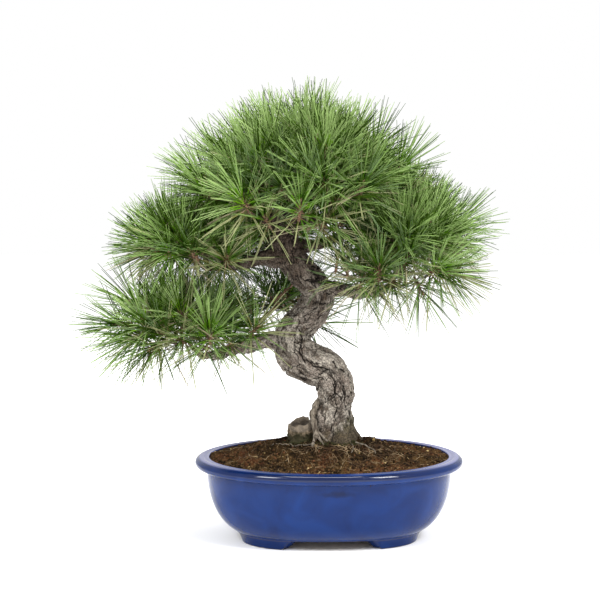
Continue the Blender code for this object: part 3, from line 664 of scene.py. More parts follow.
# %% Strew the crumbs
MM = 0.001
CRUMBS = {
    "lumps": (8200, (1.0, 1.0, 0.8), (3.8, 3.1, 2.5), (0.006, 0.003, 0.0012), (0.052, 0.031, 0.012)),
    "crumbs": (25000, (0.4, 0.4, 0.3), (1.7, 1.4, 1.1), (0.014, 0.0075, 0.003), (0.140, 0.078, 0.034)),
    "bark_bits": (4200, (0.5, 0.5, 0.3), (3.6, 1.7, 1.0), (0.045, 0.018, 0.008), (0.170, 0.072, 0.034)),
    "wood_bits": (2200, (0.4, 0.4, 0.3), (4.0, 0.9, 0.7), (0.090, 0.060, 0.025), (0.300, 0.215, 0.110)),
    "grit": (760, (0.6, 0.6, 0.5), (2.6, 2.1, 1.7), (0.200, 0.130, 0.045), (0.500, 0.380, 0.190)),
}
FIRST_SEED = 3

soil_top = soil_piece.data.copy()
for seed, (name, row) in enumerate(CRUMBS.items(), FIRST_SEED):
    density, smallest, largest, dark, light = row
    finish = Finish(name, light, 0.95, Specular_IOR_Level=0.08)
    shades = finish.noise(260.0) * 0.6 + finish.noise(55.0, 3.0) * 0.4
    shades = finish.ramp(shades, 0.38, 0.62) * (1 - near_trunk(finish))
    finish.put("Base Color", finish.blend(shades, dark, light))
    finish.bump(finish.noise(1500.0), 0.0003)
    values = {"Crumbs per Square Metre": float(density), "Seed": seed, "Finish": finish.material}
    values["Smallest"] = [round(size * MM, 5) for size in smallest]
    values["Largest"] = [round(size * MM, 5) for size in largest]
    piece("soil_" + name, run_tree(strewing, soil_top.copy(), values, "soil_" + name), ())

# %% [markdown]
# ## Lines with a radius
#
# Twigs, rootlets and litter are all thin tubes along a line. They are drawn as loose edges with a radius
# stored at each point, and one tree turns them into tubes: edges become curves, and a ring is swept along
# each curve. The ring is scaled by the stored radius, because the sweep leaves a curve's own radius out.

# %% Tube tree
def tube_tree():
    tree = Tree("tubes", {"Sides": "Int", "Finish": "Material"})
    curves = tree.add("GeometryNodeMeshToCurve", {}, {"Mesh": tree.input("Geometry")})
    ring = {"Resolution": tree.input("Sides"), "Radius": 1.0}
    ring = tree.add("GeometryNodeCurvePrimitiveCircle", {}, ring)
    swept = {"Curve": curves, "Profile Curve": ring, "Scale": tree.named("thickness"), "Fill Caps": True}
    tubes = tree.add("GeometryNodeCurveToMesh", {}, swept)
    smooth = tree.add("GeometryNodeSetShadeSmooth", {}, {"Geometry": tubes})
    real = tree.add("GeometryNodeRealizeInstances", {}, {"Geometry": smooth})
    tree.end(tree.add("GeometryNodeSetMaterial", {}, {"Geometry": real, "Material": tree.input("Finish")}))
    return tree


def edges_of(lines):
    """A mesh of loose edges from lines, which are arrays with a row of x, y, z and radius for each point."""
    points = np.concatenate(lines)
    pairs, count = [], 0
    for line in lines:
        first = np.arange(count, count + len(line) - 1)
        pairs.append(np.stack((first, first + 1), axis=1))
        count += len(line)
    pairs = np.concatenate(pairs).astype(np.int32)
    mesh = bpy.data.meshes.new("lines")
    mesh.vertices.add(len(points))
    mesh.vertices.foreach_set("co", points[:, :3].astype(np.float32).ravel())
    mesh.edges.add(len(pairs))
    mesh.edges.foreach_set("vertices", pairs.ravel())
    keep_numbers(mesh, "thickness", points[:, 3])
    return mesh


tubes = tube_tree()


def tube_piece(name, lines, sides, finish):
    """A finished piece of tubes along lines."""
    values = {"Sides": sides, "Finish": finish.material}
    piece(name, run_tree(tubes, edges_of(lines), values, name), ())


# %% [markdown]
# ## Fallen needles and rootlets
#
# Old needles and fine roots lie on the soil, many of them in front of the trunk on its right. Each is a
# short wandering line that follows the soil a fraction of a millimetre up and stops short of the wall. A
# few dozen thicker rootlets, which curl, come out of the soil in front of the trunk.

# %% Litter
LITTER, ROOTLETS = 230, 34
LITTER_LENGTHS, LITTER_RADII = (0.010, 0.040), (0.00016, 0.00032)
LITTER_STEPS, LITTER_WAVE, LEAST_POINTS = 9, 0.0008, 4
INNERMOST, SPREAD_OUT, CROWDING = 0.30, 0.64, 1.3
FRONT_SHARE, FRONT_RIGHT = 0.35, (-1.0, 0.6)
ROOTLET_LENGTHS, ROOTLET_RADII = (0.018, 0.048), (0.00030, 0.00050)
ROOTLET_PARTS, ROOTLET_SIDE, ROOTLET_CURL = (0.34, 0.62), (-1.05, 0.55), 0.26
CLEAR_OF_WALL, RAY_FROM = 0.97, 0.2
draw = random.Random(21)


def surface_height(x, y):
    """Height of the soil over a place, found by a ray from above."""
    hit, where, _, _ = soil_piece.ray_cast(Vector((x, y, RAY_FROM)), Vector((0, 0, -1)))
    return where.z if hit else SOIL_EDGE


def litter_line(length, radius, part, angle, heading, curl=0.0):
    """A line that wanders over the soil from one place, lying just on it."""
    x, y, _ = soil_place(part, angle)
    rows = []
    for step in range(LITTER_STEPS):
        out = math.hypot(x - POT_MIDDLE[0], (y - POT_MIDDLE[1]) / RIM_DEPTH_RATIO) / LIP_INNER
        if out < CLEAR_OF_WALL:
            level = surface_height(x, y) + radius * 1.2 + LITTER_WAVE * math.sin(step * 0.7) ** 2
            rows.append((x, y, level, radius * (1 - 0.5 * step / LITTER_STEPS)))
        heading += curl + draw.gauss(0, 0.14)
        x += length / LITTER_STEPS * math.cos(heading)
        y += length / LITTER_STEPS * math.sin(heading)
    return np.array(rows)


bpy.context.view_layer.update()
litter = []
for _ in range(LITTER):
    part = INNERMOST + SPREAD_OUT * draw.random() ** CROWDING
    length = draw.uniform(*LITTER_LENGTHS)
    angle = draw.gauss(*FRONT_RIGHT) if draw.random() < FRONT_SHARE else draw.uniform(0, FULL_TURN)
    radius, heading = draw.uniform(*LITTER_RADII), draw.uniform(0, FULL_TURN)
    litter.append(litter_line(length, radius, part, angle, heading))
for _ in range(ROOTLETS):
    part, angle = draw.uniform(*ROOTLET_PARTS), draw.gauss(*ROOTLET_SIDE)
    length, radius = draw.uniform(*ROOTLET_LENGTHS), draw.uniform(*ROOTLET_RADII)
    heading, curl = draw.uniform(0, FULL_TURN), draw.uniform(-ROOTLET_CURL, ROOTLET_CURL)
    litter.append(litter_line(length, radius, part, angle, heading, curl))
litter = [line for line in litter if len(line) >= LEAST_POINTS]
straw = Finish("dry_litter", (0.16, 0.09, 0.05), 0.8, Specular_IOR_Level=0.3)
straw.mottle(straw.noise(70.0, 2.0), 0.46, 0.74, (0.060, 0.030, 0.012), (0.42, 0.31, 0.18))
tube_piece("soil_litter", litter, 4, straw)

# %% [markdown]
# ## The line of the trunk
#
# The trunk snakes twice before it goes into the crown. Its line, with a radius at each point, is the same
# as the frame's. A smooth curve is run through it, and two axes are carried along the curve without
# twisting, so that rings of any number of corners can be set across it. Each bough leaves the trunk at a
# height, has a radius at its root and one at its tip, in millimetres, and runs through a few points.

# %% Limb lines
TRUNK_FOOT = 0.121
TRUNK_LINE = (
    (0.008, 0.000, 0.121, 0.0230),
    (0.007, 0.000, 0.146, 0.0215),
    (0.008, -0.002, 0.170, 0.0218),
    (0.008, -0.005, 0.193, 0.0228),
    (-0.003, -0.008, 0.215, 0.0240),
    (-0.026, -0.008, 0.225, 0.0245),
    (-0.047, -0.003, 0.244, 0.0235),
    (-0.041, 0.003, 0.267, 0.0220),
    (-0.019, 0.006, 0.292, 0.0200),
    (-0.014, 0.005, 0.314, 0.0192),
    (-0.036, 0.001, 0.341, 0.0190),
    (-0.053, -0.002, 0.369, 0.0172),
    (-0.054, -0.002, 0.392, 0.0145),
    (-0.047, 0.000, 0.422, 0.0095),
    (-0.039, 0.002, 0.452, 0.0048),
)
BOUGHS = {
    "low_left": (
        0.250,
        10.0,
        5.5,
        ((-0.088, -0.006, 0.250), (-0.115, -0.010, 0.243), (-0.150, -0.012, 0.233)),
    ),
    "low_back": (0.274, 8.0, 5.0, ((-0.040, 0.040, 0.268), (-0.044, 0.074, 0.272))),
    "right": (0.316, 7.5, 4.5, ((0.022, -0.002, 0.315), (0.044, -0.010, 0.312), (0.072, -0.014, 0.318))),
    "back": (0.342, 8.0, 5.0, ((-0.055, 0.040, 0.343), (-0.070, 0.072, 0.350))),
    "mid_left": (
        0.356,
        10.0,
        5.5,
        ((-0.085, -0.004, 0.355), (-0.112, -0.008, 0.348), (-0.140, -0.008, 0.345)),
    ),
    "right_back": (0.368, 7.0, 4.5, ((-0.010, 0.026, 0.372), (0.028, 0.040, 0.384), (0.062, 0.050, 0.394))),
    "upper_left": (0.394, 7.0, 4.2, ((-0.080, -0.002, 0.406), (-0.104, 0.000, 0.422))),
    "upper_right": (
        0.398,
        7.0,
        4.2,
        ((-0.020, -0.006, 0.402), (0.006, -0.008, 0.412), (0.026, -0.006, 0.430)),
    ),
    "upper_front": (0.408, 6.0, 4.0, ((-0.046, -0.028, 0.411), (-0.042, -0.052, 0.420))),
    "upper_back": (0.415, 6.0, 4.0, ((-0.046, 0.030, 0.420), (-0.042, 0.056, 0.430))),
}


def smooth_line(rows, step):
    """A smooth curve through rows of numbers, the first three of which are a place, at even steps."""
    rows = np.array(rows, float)
    rows = np.vstack((2 * rows[0] - rows[1], rows, 2 * rows[-1] - rows[-2]))
    parts = np.linspace(0, 1, 24, endpoint=False)[:, None]
    stretches = []
    for a, b, c, d in zip(rows, rows[1:], rows[2:], rows[3:]):
        cubic = 2 * b + (c - a) * parts + (2 * a - 5 * b + 4 * c - d) * parts**2
        stretches.append((cubic + (3 * b - a - 3 * c + d) * parts**3) / 2)
    fine = np.vstack((*stretches, rows[-2]))
    lengths = np.linalg.norm(np.diff(fine[:, :3], axis=0), axis=1)
    along = np.concatenate(([0], np.cumsum(lengths)))
    places = np.linspace(0, along[-1], max(2, round(along[-1] / step) + 1))
    return np.stack([np.interp(places, along, column) for column in fine.T], axis=1)


def unit(vector):
    """A vector of the same direction, one long."""
    return vector / np.linalg.norm(vector)


def axes_along(line):
    """Two axes across a line at each of its points."""
    side = np.array([1.0, 0.0, 0.0])
    first, second = [], []
    for heading in np.gradient(line, axis=0):
        heading = unit(heading)
        side = side - heading * (side @ heading)
        if np.linalg.norm(side) < 1e-6:
            side = np.cross(heading, (0.0, 1.0, 0.0))
        side = unit(side)
        first.append(side)
        second.append(np.cross(heading, side))
    return np.array(first), np.array(second)


def limb_rings(line, reach):
    """Rings round a line. Reach holds a radius for each ring and each of its corners."""
    turns = np.linspace(0, FULL_TURN, reach.shape[1], endpoint=False)
    first, second = axes_along(line)
    across = np.cos(turns)[None, :, None] * first[:, None] + np.sin(turns)[None, :, None] * second[:, None]
    return line[:, None] + reach[:, :, None] * across


def trunk_place(height):
    """Place and radius of the trunk where its line first reaches a height."""
    rows = smooth_line(TRUNK_LINE, MM)
    return rows[np.argmax(rows[:, 2] >= height)]


def bough_rows(name, step):
    """Places and radii of a bough from the trunk's middle to its tip, about the pot's middle."""
    leaves_at, thick, thin, through = BOUGHS[name]
    places = [tuple(trunk_place(leaves_at)[:3]), *through]
    count = len(places) - 1
    radii = [MM * (thick + (thin - thick) * i / count) for i in range(count + 1)]
    return smooth_line([(*place, radius) for place, radius in zip(places, radii)], step)


print("trunk", len(smooth_line(TRUNK_LINE, MM)), "mm along its line")

# %% [markdown]
# ## Bark
#
# Pine bark splits into plates as the trunk thickens. The plates are cells about a centimetre wide, longer
# along the limb than across it. Cracks that open and close run between them, fine furrows run along the
# limb, and each plate is built of thin flakes, one on another. Cell noise gives the cracks: the difference
# between the distances to the two nearest cell centres is small along the borders. Cloudy noise cut into
# steps gives the flakes. The relief is real geometry, because the trunk's outline shows it. How much painted
# shade falls in the cracks and furrows, under the flakes' edges and between the fibres, and the height of
# the flakes, are kept at each point for the finish to read. Noise that makes vectors starts from the clock
# unless it is given a seed, so it gets one here. With the same seed every run grows the same bark.

# %% Bark relief
NOISE_SEED = 6
noise.seed_set(NOISE_SEED)
PLATE_SIZE, PLATE_STRETCH = 0.0130, 0.55
CRACK_WIDTH, CRACK_DEPTH, CRACK_LEAST = 0.088, 0.0032, 0.16
FURROW_SIZE, FURROW_STRETCH, FURROW_DEPTH = 0.0046, 0.50, 0.0012
FURROW_WIDTH = 0.16
LUMP_SIZE, LUMP_HEIGHT = 0.024, 0.0016
LAYER_SIZE, LAYERS, LAYER_HEIGHT = 0.0080, 5, 0.0021
GRAIN_SIZE, GRAIN_STRETCH, GRAIN_HEIGHT = 0.0018, 0.42, 0.0011


def gentle(value, low, high):
    """A number carried to 0..1 with soft ends."""
    part = min(1.0, max(0.0, (value - low) / (high - low)))
    return part * part * (3 - 2 * part)


def border(place):
    """Distance of a place from the nearest border between cells."""
    near = noise.voronoi(place)[0]
    return near[1] - near[0]


def bark_at(place, size):
    """Height of the bark at a place, how much painted shade it gets in cracks, furrows, under flake edges and
    between fibres, and how high a flake it is on.
    """
    plate = place / (PLATE_SIZE * size)
    plate += noise.noise_vector(plate * 0.8) * 0.60 + noise.noise_vector(plate * 2.6) * 0.30
    open_here = gentle(noise.noise(plate * 0.45), -0.22, 0.30)
    crack = (1 - gentle(border(plate), 0.0, CRACK_WIDTH)) * (CRACK_LEAST + (1 - CRACK_LEAST) * open_here)
    furrow = Vector((place.x, place.y, place.z * FURROW_STRETCH)) / (FURROW_SIZE * size)
    furrow += noise.noise_vector(furrow * 0.9) * 0.5
    furrow_here = gentle(noise.noise(furrow * 0.4 + Vector((9, 3, 5))), -0.30, 0.25)
    furrow = (1 - gentle(border(furrow), 0.0, FURROW_WIDTH)) * furrow_here
    layered = noise.fractal(place / (LAYER_SIZE * size), 0.75, 2.1, 5) * LAYERS
    edge = layered - math.floor(layered)
    layer = (math.floor(layered) + gentle(edge, 0.0, 0.35)) / LAYERS
    lump = noise.noise(place / LUMP_SIZE)
    fibre = Vector((place.x, place.y, place.z * GRAIN_STRETCH)) / (GRAIN_SIZE * size)
    grain = noise.fractal(fibre, 0.7, 2.1, 3)
    height = LUMP_HEIGHT * lump + LAYER_HEIGHT * layer + GRAIN_HEIGHT * grain
    height -= CRACK_DEPTH * crack + FURROW_DEPTH * furrow
    # painted shade under the edges of the flakes and between the fibres
    shade_under_edge = 0.36 * (1 - gentle(edge, 0.0, 0.24))
    shade_between_fibres = 0.21 * gentle(-grain, 0.05, 0.45)
    return height, min(1.0, crack + 0.6 * furrow + shade_under_edge + shade_between_fibres), 0.5 + layer


def bark_limb(rows, sides, size, relief, swelling):
    """Skin of a limb with bark, and the painted crack shade and flake height at each of its points."""
    line = rows[:, :3] + POT_MIDDLE
    turns = np.linspace(0, FULL_TURN, sides, endpoint=False)
    reach = rows[:, 3][:, None] * swelling(rows, turns)
    step = np.linalg.norm(np.diff(line, axis=0), axis=1).mean()
    cracks, flakes, bark = np.zeros_like(reach), np.zeros_like(reach), np.zeros_like(reach)
    for i, row in enumerate(rows):
        along = i * step * PLATE_STRETCH
        for j, turn in enumerate(turns):
            place = Vector((row[3] * math.cos(turn), row[3] * math.sin(turn), along))
            bark[i, j], cracks[i, j], flakes[i, j] = bark_at(place, size)
    rings = limb_rings(line, reach + bark * relief[:, None])
    points, faces = skin(swollen(rings, line))
    ends = (0.5, 0.5)
    return points, faces, np.concatenate((cracks.ravel(), ends)), np.concatenate((flakes.ravel(), ends))


print("plates", round(PLATE_SIZE / MM), "mm wide and cracks", round(CRACK_DEPTH / MM, 1), "mm deep")

# %% [markdown]
# ## Swellings and hollows
#
# The trunk has root lobes at its foot and slight knobs above, by the rule of the frame, and each bough has
# a collar where it leaves the trunk. Only the dressed tree has burls: each is a place, a size and a push
# away from the limb's line. They give the trunk its root towards the stump, the trunk and the boughs their
# knots, and the lowest bough its swollen neck. Where the push is negative they make a hollow.

# %% Burls, lobes and collars
BURLS = (
    ((-0.020, -0.014, 0.126), 0.018, 0.0035),
    ((-0.016, -0.006, 0.156), 0.013, 0.0035),
    ((0.031, -0.005, 0.172), 0.014, -0.0028),
    ((0.034, -0.008, 0.210), 0.018, -0.0022),
    ((0.034, -0.006, 0.190), 0.010, 0.0010),
    ((-0.046, -0.006, 0.212), 0.014, 0.0026),
    ((-0.090, -0.010, 0.240), 0.014, 0.0030),
    ((0.034, -0.004, 0.130), 0.012, 0.0020),
    ((0.030, -0.010, 0.306), 0.009, 0.0034),
    ((0.058, -0.018, 0.309), 0.008, 0.0030),
    ((-0.106, -0.012, 0.243), 0.010, 0.0032),
    ((-0.134, -0.016, 0.232), 0.008, 0.0026),
    ((-0.076, -0.008, 0.236), 0.011, -0.0042),
    ((-0.054, -0.010, 0.218), 0.013, 0.0022),
    ((-0.082, -0.008, 0.258), 0.008, 0.0014),
)
FLARE, FLARE_HEIGHT = 0.52, 0.020
ROOT_LOBES, LOBE_DEPTH = 6, 0.32
KNOB = 0.05
COLLAR, COLLAR_AT, COLLAR_LENGTH = 0.45, 0.018, 0.016


def trunk_swelling(rows, turns):
    """How much thicker than its line says the trunk is, for each ring and corner."""
    height = rows[:, 2][:, None]
    flare = FLARE * np.exp(-np.maximum(0, height - TRUNK_FOOT) / FLARE_HEIGHT)
    lobes = 1 - LOBE_DEPTH + LOBE_DEPTH * np.cos(ROOT_LOBES * turns)[None]
    knobs = KNOB * np.sin(3 * turns[None] + 90 * height) * np.sin(140 * height)
    return 1 + flare * lobes + knobs


def bough_swelling(rows, turns):
    """A collar just outside the trunk."""
    step = np.linalg.norm(np.diff(rows[:, :3], axis=0), axis=1).mean()
    along = np.arange(len(rows)) * step
    collar = COLLAR * np.exp(-(((along - COLLAR_AT) / COLLAR_LENGTH) ** 2))
    return np.repeat(1 + collar[:, None], len(turns), axis=1)


def swollen(rings, line):
    """Rings with their points near a burl pushed out from the limb's line."""
    out = rings - line[:, None]
    out = out / np.linalg.norm(out, axis=2, keepdims=True)
    for place, size, push in BURLS:
        apart = np.linalg.norm(rings - (np.array(place) + POT_MIDDLE), axis=2)
        rings = rings + out * (push * np.exp(-((apart / size) ** 2)))[:, :, None]
    return rings


print("burls", sum(push > 0 for *_, push in BURLS), "hollows", sum(push < 0 for *_, push in BURLS))

# %% [markdown]
# A few cracks in the front of the trunk are longer and deeper than the noise would make them. They are
# given as lines of places across and up, and cut straight back into the bark.

# %% Long splits
SPLITS = (
    ((-0.020, 0.3010), (-0.008, 0.2985), (0.005, 0.2990)),
    ((-0.038, 0.2680), (-0.034, 0.2530), (-0.038, 0.2400), (-0.030, 0.2270)),
    ((0.004, 0.2280), (0.010, 0.2200), (0.018, 0.2140)),
    ((-0.013, 0.1960), (-0.017, 0.1850), (-0.014, 0.1760)),
    ((0.008, 0.2000), (0.005, 0.1840), (0.010, 0.1700), (0.006, 0.1560)),
)
SPLIT_WIDTH, SPLIT_DEPTH = 0.0009, 0.0028
SPLIT_WANDER, SPLIT_FRONT = 0.0016, 0.006


def split_open(points, cracks):
    """Cuts the long splits into the trunk's points, and marks them as cracks."""
    front = points[:, 1] < POT_MIDDLE[1] - SPLIT_FRONT
    seen = points[:, [0, 2]] - POT_MIDDLE[[0, 2]]
    seen = seen + SPLIT_WANDER * np.array([noise.noise_vector(Vector(point) * 300)[:2] for point in points])
    nearest = np.full(len(points), 1.0)
    for split in SPLITS:
        for start, end in zip(np.array(split), np.array(split[1:])):
            share = np.clip((seen - start) @ (end - start) / np.sum((end - start) ** 2), 0, 1)
            apart = seen - start - share[:, None] * (end - start)
            nearest = np.minimum(nearest, np.linalg.norm(apart, axis=1))
    depth = np.exp(-((nearest / SPLIT_WIDTH) ** 2)) * front
    points[:, 1] += depth * SPLIT_DEPTH
    return np.maximum(cracks, depth)


print("splits", len(SPLITS))

# %% [markdown]
# The relief fades where the trunk gets thin, because young bark is smooth. The boughs have the same bark
# at a smaller scale. The trunk starts a few millimetres under the soil, so that no gap shows.

# %% Trunk and boughs
TRUNK_IN_SOIL = ((0.008, 0.000, 0.1165, 0.0232),)
TRUNK_STEP, TRUNK_SIDES = 0.00092, 192
RELIEF_FADES = ((0.005, 0.012, 0.020), (0.25, 0.7, 1.0))
BOUGH_STEP, BOUGH_SIDES, BOUGH_SCALE, BOUGH_RELIEF = 0.0014, 54, 0.62, 0.85

trunk_rows = smooth_line(TRUNK_IN_SOIL + TRUNK_LINE, TRUNK_STEP)
relief = np.interp(trunk_rows[:, 3], *RELIEF_FADES)
points, faces, cracks, flakes = bark_limb(trunk_rows, TRUNK_SIDES, 1.0, relief, trunk_swelling)
cracks = split_open(points, cracks)
trunk_mesh = mesh_from("trunk_bark", points, faces)
keep_numbers(trunk_mesh, "crack", cracks)
keep_numbers(trunk_mesh, "flake", flakes)

limbs = []
for name in BOUGHS:
    rows = bough_rows(name, BOUGH_STEP)
    relief = np.full(len(rows), BOUGH_RELIEF)
    limbs.append(bark_limb(rows, BOUGH_SIDES, BOUGH_SCALE, relief, bough_swelling))
bough_mesh = mesh_from("bough_bark", *joined([limb[:2] for limb in limbs]))
keep_numbers(bough_mesh, "crack", np.concatenate([limb[2] for limb in limbs]))
keep_numbers(bough_mesh, "flake", np.concatenate([limb[3] for limb in limbs]))
print("points of the trunk", len(trunk_mesh.vertices), "and of the boughs", len(bough_mesh.vertices))

# %% [markdown]
# Old pine bark is ash grey where it has weathered. The right side is paler still, partly weathering and
# partly painted light. It is brown where flakes have come off, pinkish in patches, and painted nearly black
# as shade in the cracks and furrows, under the edges of the flakes and between the fibres. The upper trunk
# is younger, so it is redder, and it is painted darker as the shade of the crown. Moss tints the foot, and
# painted shade darkens it to brown. The colours are blended by the flakes and cracks, by cloudy noise and by
# height, fine specks darken and lighten them all, and a fine bump adds the fibres.

# %% Bark finish
ASH = (0.298, 0.265, 0.222)
STONE_GREY = (0.112, 0.094, 0.076)
FLAKED_AND_SHADE_BROWN = (0.072, 0.048, 0.032)
PINKISH = (0.172, 0.138, 0.114)
YOUNG_RED_AND_SHADE = (0.062, 0.041, 0.028)
CRACK_SHADE_DARK = (0.0115, 0.0080, 0.0056)
MOSS_OLIVE = (0.034, 0.034, 0.010)
YOUNG_AND_SHADED_FROM, MOSS_UP_TO, FOOT_SHADE_UP_TO = (0.305, 0.385), (0.1640, 0.1490), (0.1680, 0.1480)

bark = Finish("pine_bark", STONE_GREY, 0.92, Specular_IOR_Level=0.25)
across = bark.axis("X") - POT_MIDDLE[0]
weathered = bark.attribute("flake") * 0.8 + bark.noise(70.0, 6.0, distortion=0.5) * 0.9
# partly painted light: the right side, where the stronger soft box falls, is paler, and partly it is
# weathered
lit_and_weathered_right = bark.ramp(across, 0.004, 0.034, 0.0, 0.24)
grey = bark.blend(bark.ramp(weathered + lit_and_weathered_right, 0.62, 1.02), STONE_GREY, ASH)
brown = bark.ramp(bark.noise(110.0, 5.0), 0.50, 0.68) * 0.75
grey = bark.blend(brown, grey, FLAKED_AND_SHADE_BROWN)
warm = bark.ramp(bark.noise(42.0, 3.0), 0.50, 0.62) * 0.55
grey = bark.blend(warm, grey, PINKISH)
# partly painted shade: the upper trunk under the crown is darker, and it is redder as younger bark
young_and_shaded = bark.ramp(bark.axis("Z") + bark.noise(30.0) * 0.05, *YOUNG_AND_SHADED_FROM) * 0.88
grey = bark.blend(young_and_shaded, grey, YOUNG_RED_AND_SHADE)
to_right = bark.ramp(across, 0.0, 0.030, 0.0, 0.020)
mossy = bark.ramp(bark.axis("Z") + bark.noise(140.0, 5.0) * 0.044 - to_right, *MOSS_UP_TO) * 0.85
grey = bark.blend(mossy, grey, MOSS_OLIVE)
# painted shade: the foot of the trunk is darkened to brown towards the soil
damp_and_shade = bark.ramp(bark.axis("Z") + bark.noise(90.0, 4.0) * 0.030, *FOOT_SHADE_UP_TO) * 0.6
grey = bark.blend(damp_and_shade, grey, FLAKED_AND_SHADE_BROWN)
speck = bark.ramp(bark.noise(520.0, 6.0), 0.34, 0.68, 0.36, 1.54)
# painted shade: cracks, furrows, flake edges and the gaps between fibres are darkened nearly black
dark = bark.ramp(bark.attribute("crack"), 0.14, 0.72)
multiply = {"data_type": "RGBA", "blend_type": "MULTIPLY"}
grey = bark.add("ShaderNodeMix", multiply, {0: 1.0, 6: grey, 7: speck}, out=2)
bark.put("Base Color", bark.blend(dark, grey, CRACK_SHADE_DARK))
bark.bump(bark.noise(460.0, 6.0) + bark.noise(1400.0, 3.0) * 0.4, 0.0018)

piece("trunk_bark", trunk_mesh, (bark,), ["trunk"])
piece("bough_bark", bough_mesh, (bark,), ["bough_" + name for name in BOUGHS])

# %% [markdown]
# ## The sawn root and the root that climbs down
#
# Beside the trunk stands the stump of a root that was sawn off, weathered to grey and tan, with moss at
# its foot. It is a skin of knobbly rings. The cut slopes up to the back, and its middle has rotted into a
# hollow, painted dark as shade, with a rim round it.

# %% Sawn root
STUB_CENTRE = (-0.037, -0.010)
STUB_RADIUS, STUB_HEIGHT, STUB_DEPTH_RATIO = 0.0156, 0.0282, 0.8
STUB_PROFILE = (
    (-0.16, 1.24),
    (0.0, 1.18),
    (0.15, 1.06),
    (0.35, 0.98),
    (0.6, 1.02),
    (0.88, 1.00),
    (0.96, 0.96),
    (1.0, 0.88),
)
STUB_SLOPE_ALONG, STUB_SLOPE_BACK, STUB_LEAN = 0.10, 0.36, 0.002
STUB_SIDES, STUB_SIDE_RINGS, STUB_CUT_RINGS = 132, 60, 14
HOLLOW_MIDDLE, HOLLOW_DEPTH, HOLLOW_HALF_SIZES = -0.001, 0.0062, (0.0085, 0.0070)
STUB_ROUGH, STUB_KNOBS, STUB_RIPPLES = 0.0030, 0.22, 0.11


def stub_lift(x, y, part):
    """How far the slope, the hollow and the roughness of the cut lift a point of the stump."""
    across, back = x - STUB_CENTRE[0], y - STUB_CENTRE[1]
    half_length, half_depth = HOLLOW_HALF_SIZES
    far = ((across - HOLLOW_MIDDLE) / half_length) ** 4 + ((back - HOLLOW_MIDDLE) / half_depth) ** 4
    slope = part * (STUB_SLOPE_ALONG * across + STUB_SLOPE_BACK * back)
    rough = STUB_ROUGH * part * noise.noise(Vector((x * 170, y * 170, 3.0)))
    return slope - HOLLOW_DEPTH * math.exp(-far) * gentle(part, 0.7, 1.0) + rough


def stub_rings():
    """Rings from under the soil up the sides of the stump, and then inwards over its cut."""
    turns = np.linspace(0, FULL_TURN, STUB_SIDES, endpoint=False)
    parts = np.concatenate((np.linspace(-0.16, 1.0, STUB_SIDE_RINGS), np.ones(STUB_CUT_RINGS)))
    inward = np.concatenate((np.ones(STUB_SIDE_RINGS), np.linspace(0.95, 0.04, STUB_CUT_RINGS)))
    rings = []
    for part, inside in zip(parts, inward):
        spread = np.interp(part, *zip(*STUB_PROFILE)) * inside
        ring = []
        for turn in turns:
            around = Vector((1.1 * math.cos(turn), 1.1 * math.sin(turn), 1.3 * part))
            knobby = STUB_KNOBS * noise.noise(around + Vector((4.0, 1.0, 0.5)))
            knobby += STUB_RIPPLES * noise.fractal(around * 4, 0.7, 2.0, 4)
            reach = STUB_RADIUS * spread * (1 + knobby)
            x = STUB_CENTRE[0] + STUB_LEAN * part + reach * math.cos(turn)
            y = STUB_CENTRE[1] + STUB_DEPTH_RATIO * reach * math.sin(turn)
            ring.append((x, y, TRUNK_FOOT + STUB_HEIGHT * part + stub_lift(x, y, part)))
        rings.append(ring)
    return np.array(rings) + POT_MIDDLE


print("stump", round(2 * STUB_RADIUS / MM), "mm wide and", round(STUB_HEIGHT / MM), "mm high")

# %% [markdown]
# The sides of the stump are tan with dark ribs. The cut is greyer, the hollow in it is painted nearly black
# as the shade inside it, and moss climbs the sides from the soil. The cut slopes, so its finish reads the
# height above that slope.

# %% Old wood finish
RIB_DARK, RIB_TAN = (0.040, 0.028, 0.016), (0.270, 0.205, 0.135)
CUT_GREY, HOLLOW_SHADE_DARK, STUB_MOSS = (0.150, 0.125, 0.098), (0.030, 0.023, 0.017), (0.020, 0.019, 0.006)
CUT_FROM, MOSS_ON_STUB = (0.1415, 0.1440), (0.1490, 0.1430)
HOLLOW_SHADE_HALF_SIZES = (0.0115, 0.0075)
STUB_CREASE = math.radians(50)

old_wood = Finish("weathered_root", (0.30, 0.23, 0.15), 0.88, Specular_IOR_Level=0.25)
ribbed = old_wood.noise(200.0, 6.0, old_wood.stretched((1.0, 1.0, 0.45)), 0.5)
tan = old_wood.blend(old_wood.ramp(ribbed, 0.36, 0.64), RIB_DARK, RIB_TAN)
stub_x, stub_y = POT_MIDDLE[:2] + STUB_CENTRE
stump_hollow_shade = old_wood.oval("XY", (stub_x, stub_y + HOLLOW_MIDDLE), HOLLOW_SHADE_HALF_SIZES)
stump_hollow_shade = stump_hollow_shade + old_wood.noise(260.0, 4.0) * 1.1
sloped = old_wood.axis("Z") - (old_wood.axis("Y") - stub_y) * STUB_SLOPE_BACK
on_top = old_wood.ramp(sloped, *CUT_FROM)
tan = old_wood.blend(on_top * 0.7, tan, CUT_GREY)
# painted shade: the hollow in the cut is darkened nearly black
tan = old_wood.blend(old_wood.ramp(stump_hollow_shade, 2.2, 1.3) * on_top * 0.92, tan, HOLLOW_SHADE_DARK)
mossy = old_wood.ramp(old_wood.axis("Z") + old_wood.noise(130.0, 5.0) * 0.020, *MOSS_ON_STUB) * 0.92
old_wood.put("Base Color", old_wood.blend(mossy, tan, STUB_MOSS))
old_wood.bump(ribbed + old_wood.noise(700.0) * 0.5, 0.0026)
stub_mesh = mesh_from("root_stump", *skin(stub_rings()))
stub_mesh.set_sharp_from_angle(angle=STUB_CREASE)
piece("root_stump", stub_mesh, (old_wood,), ["root_stub"])

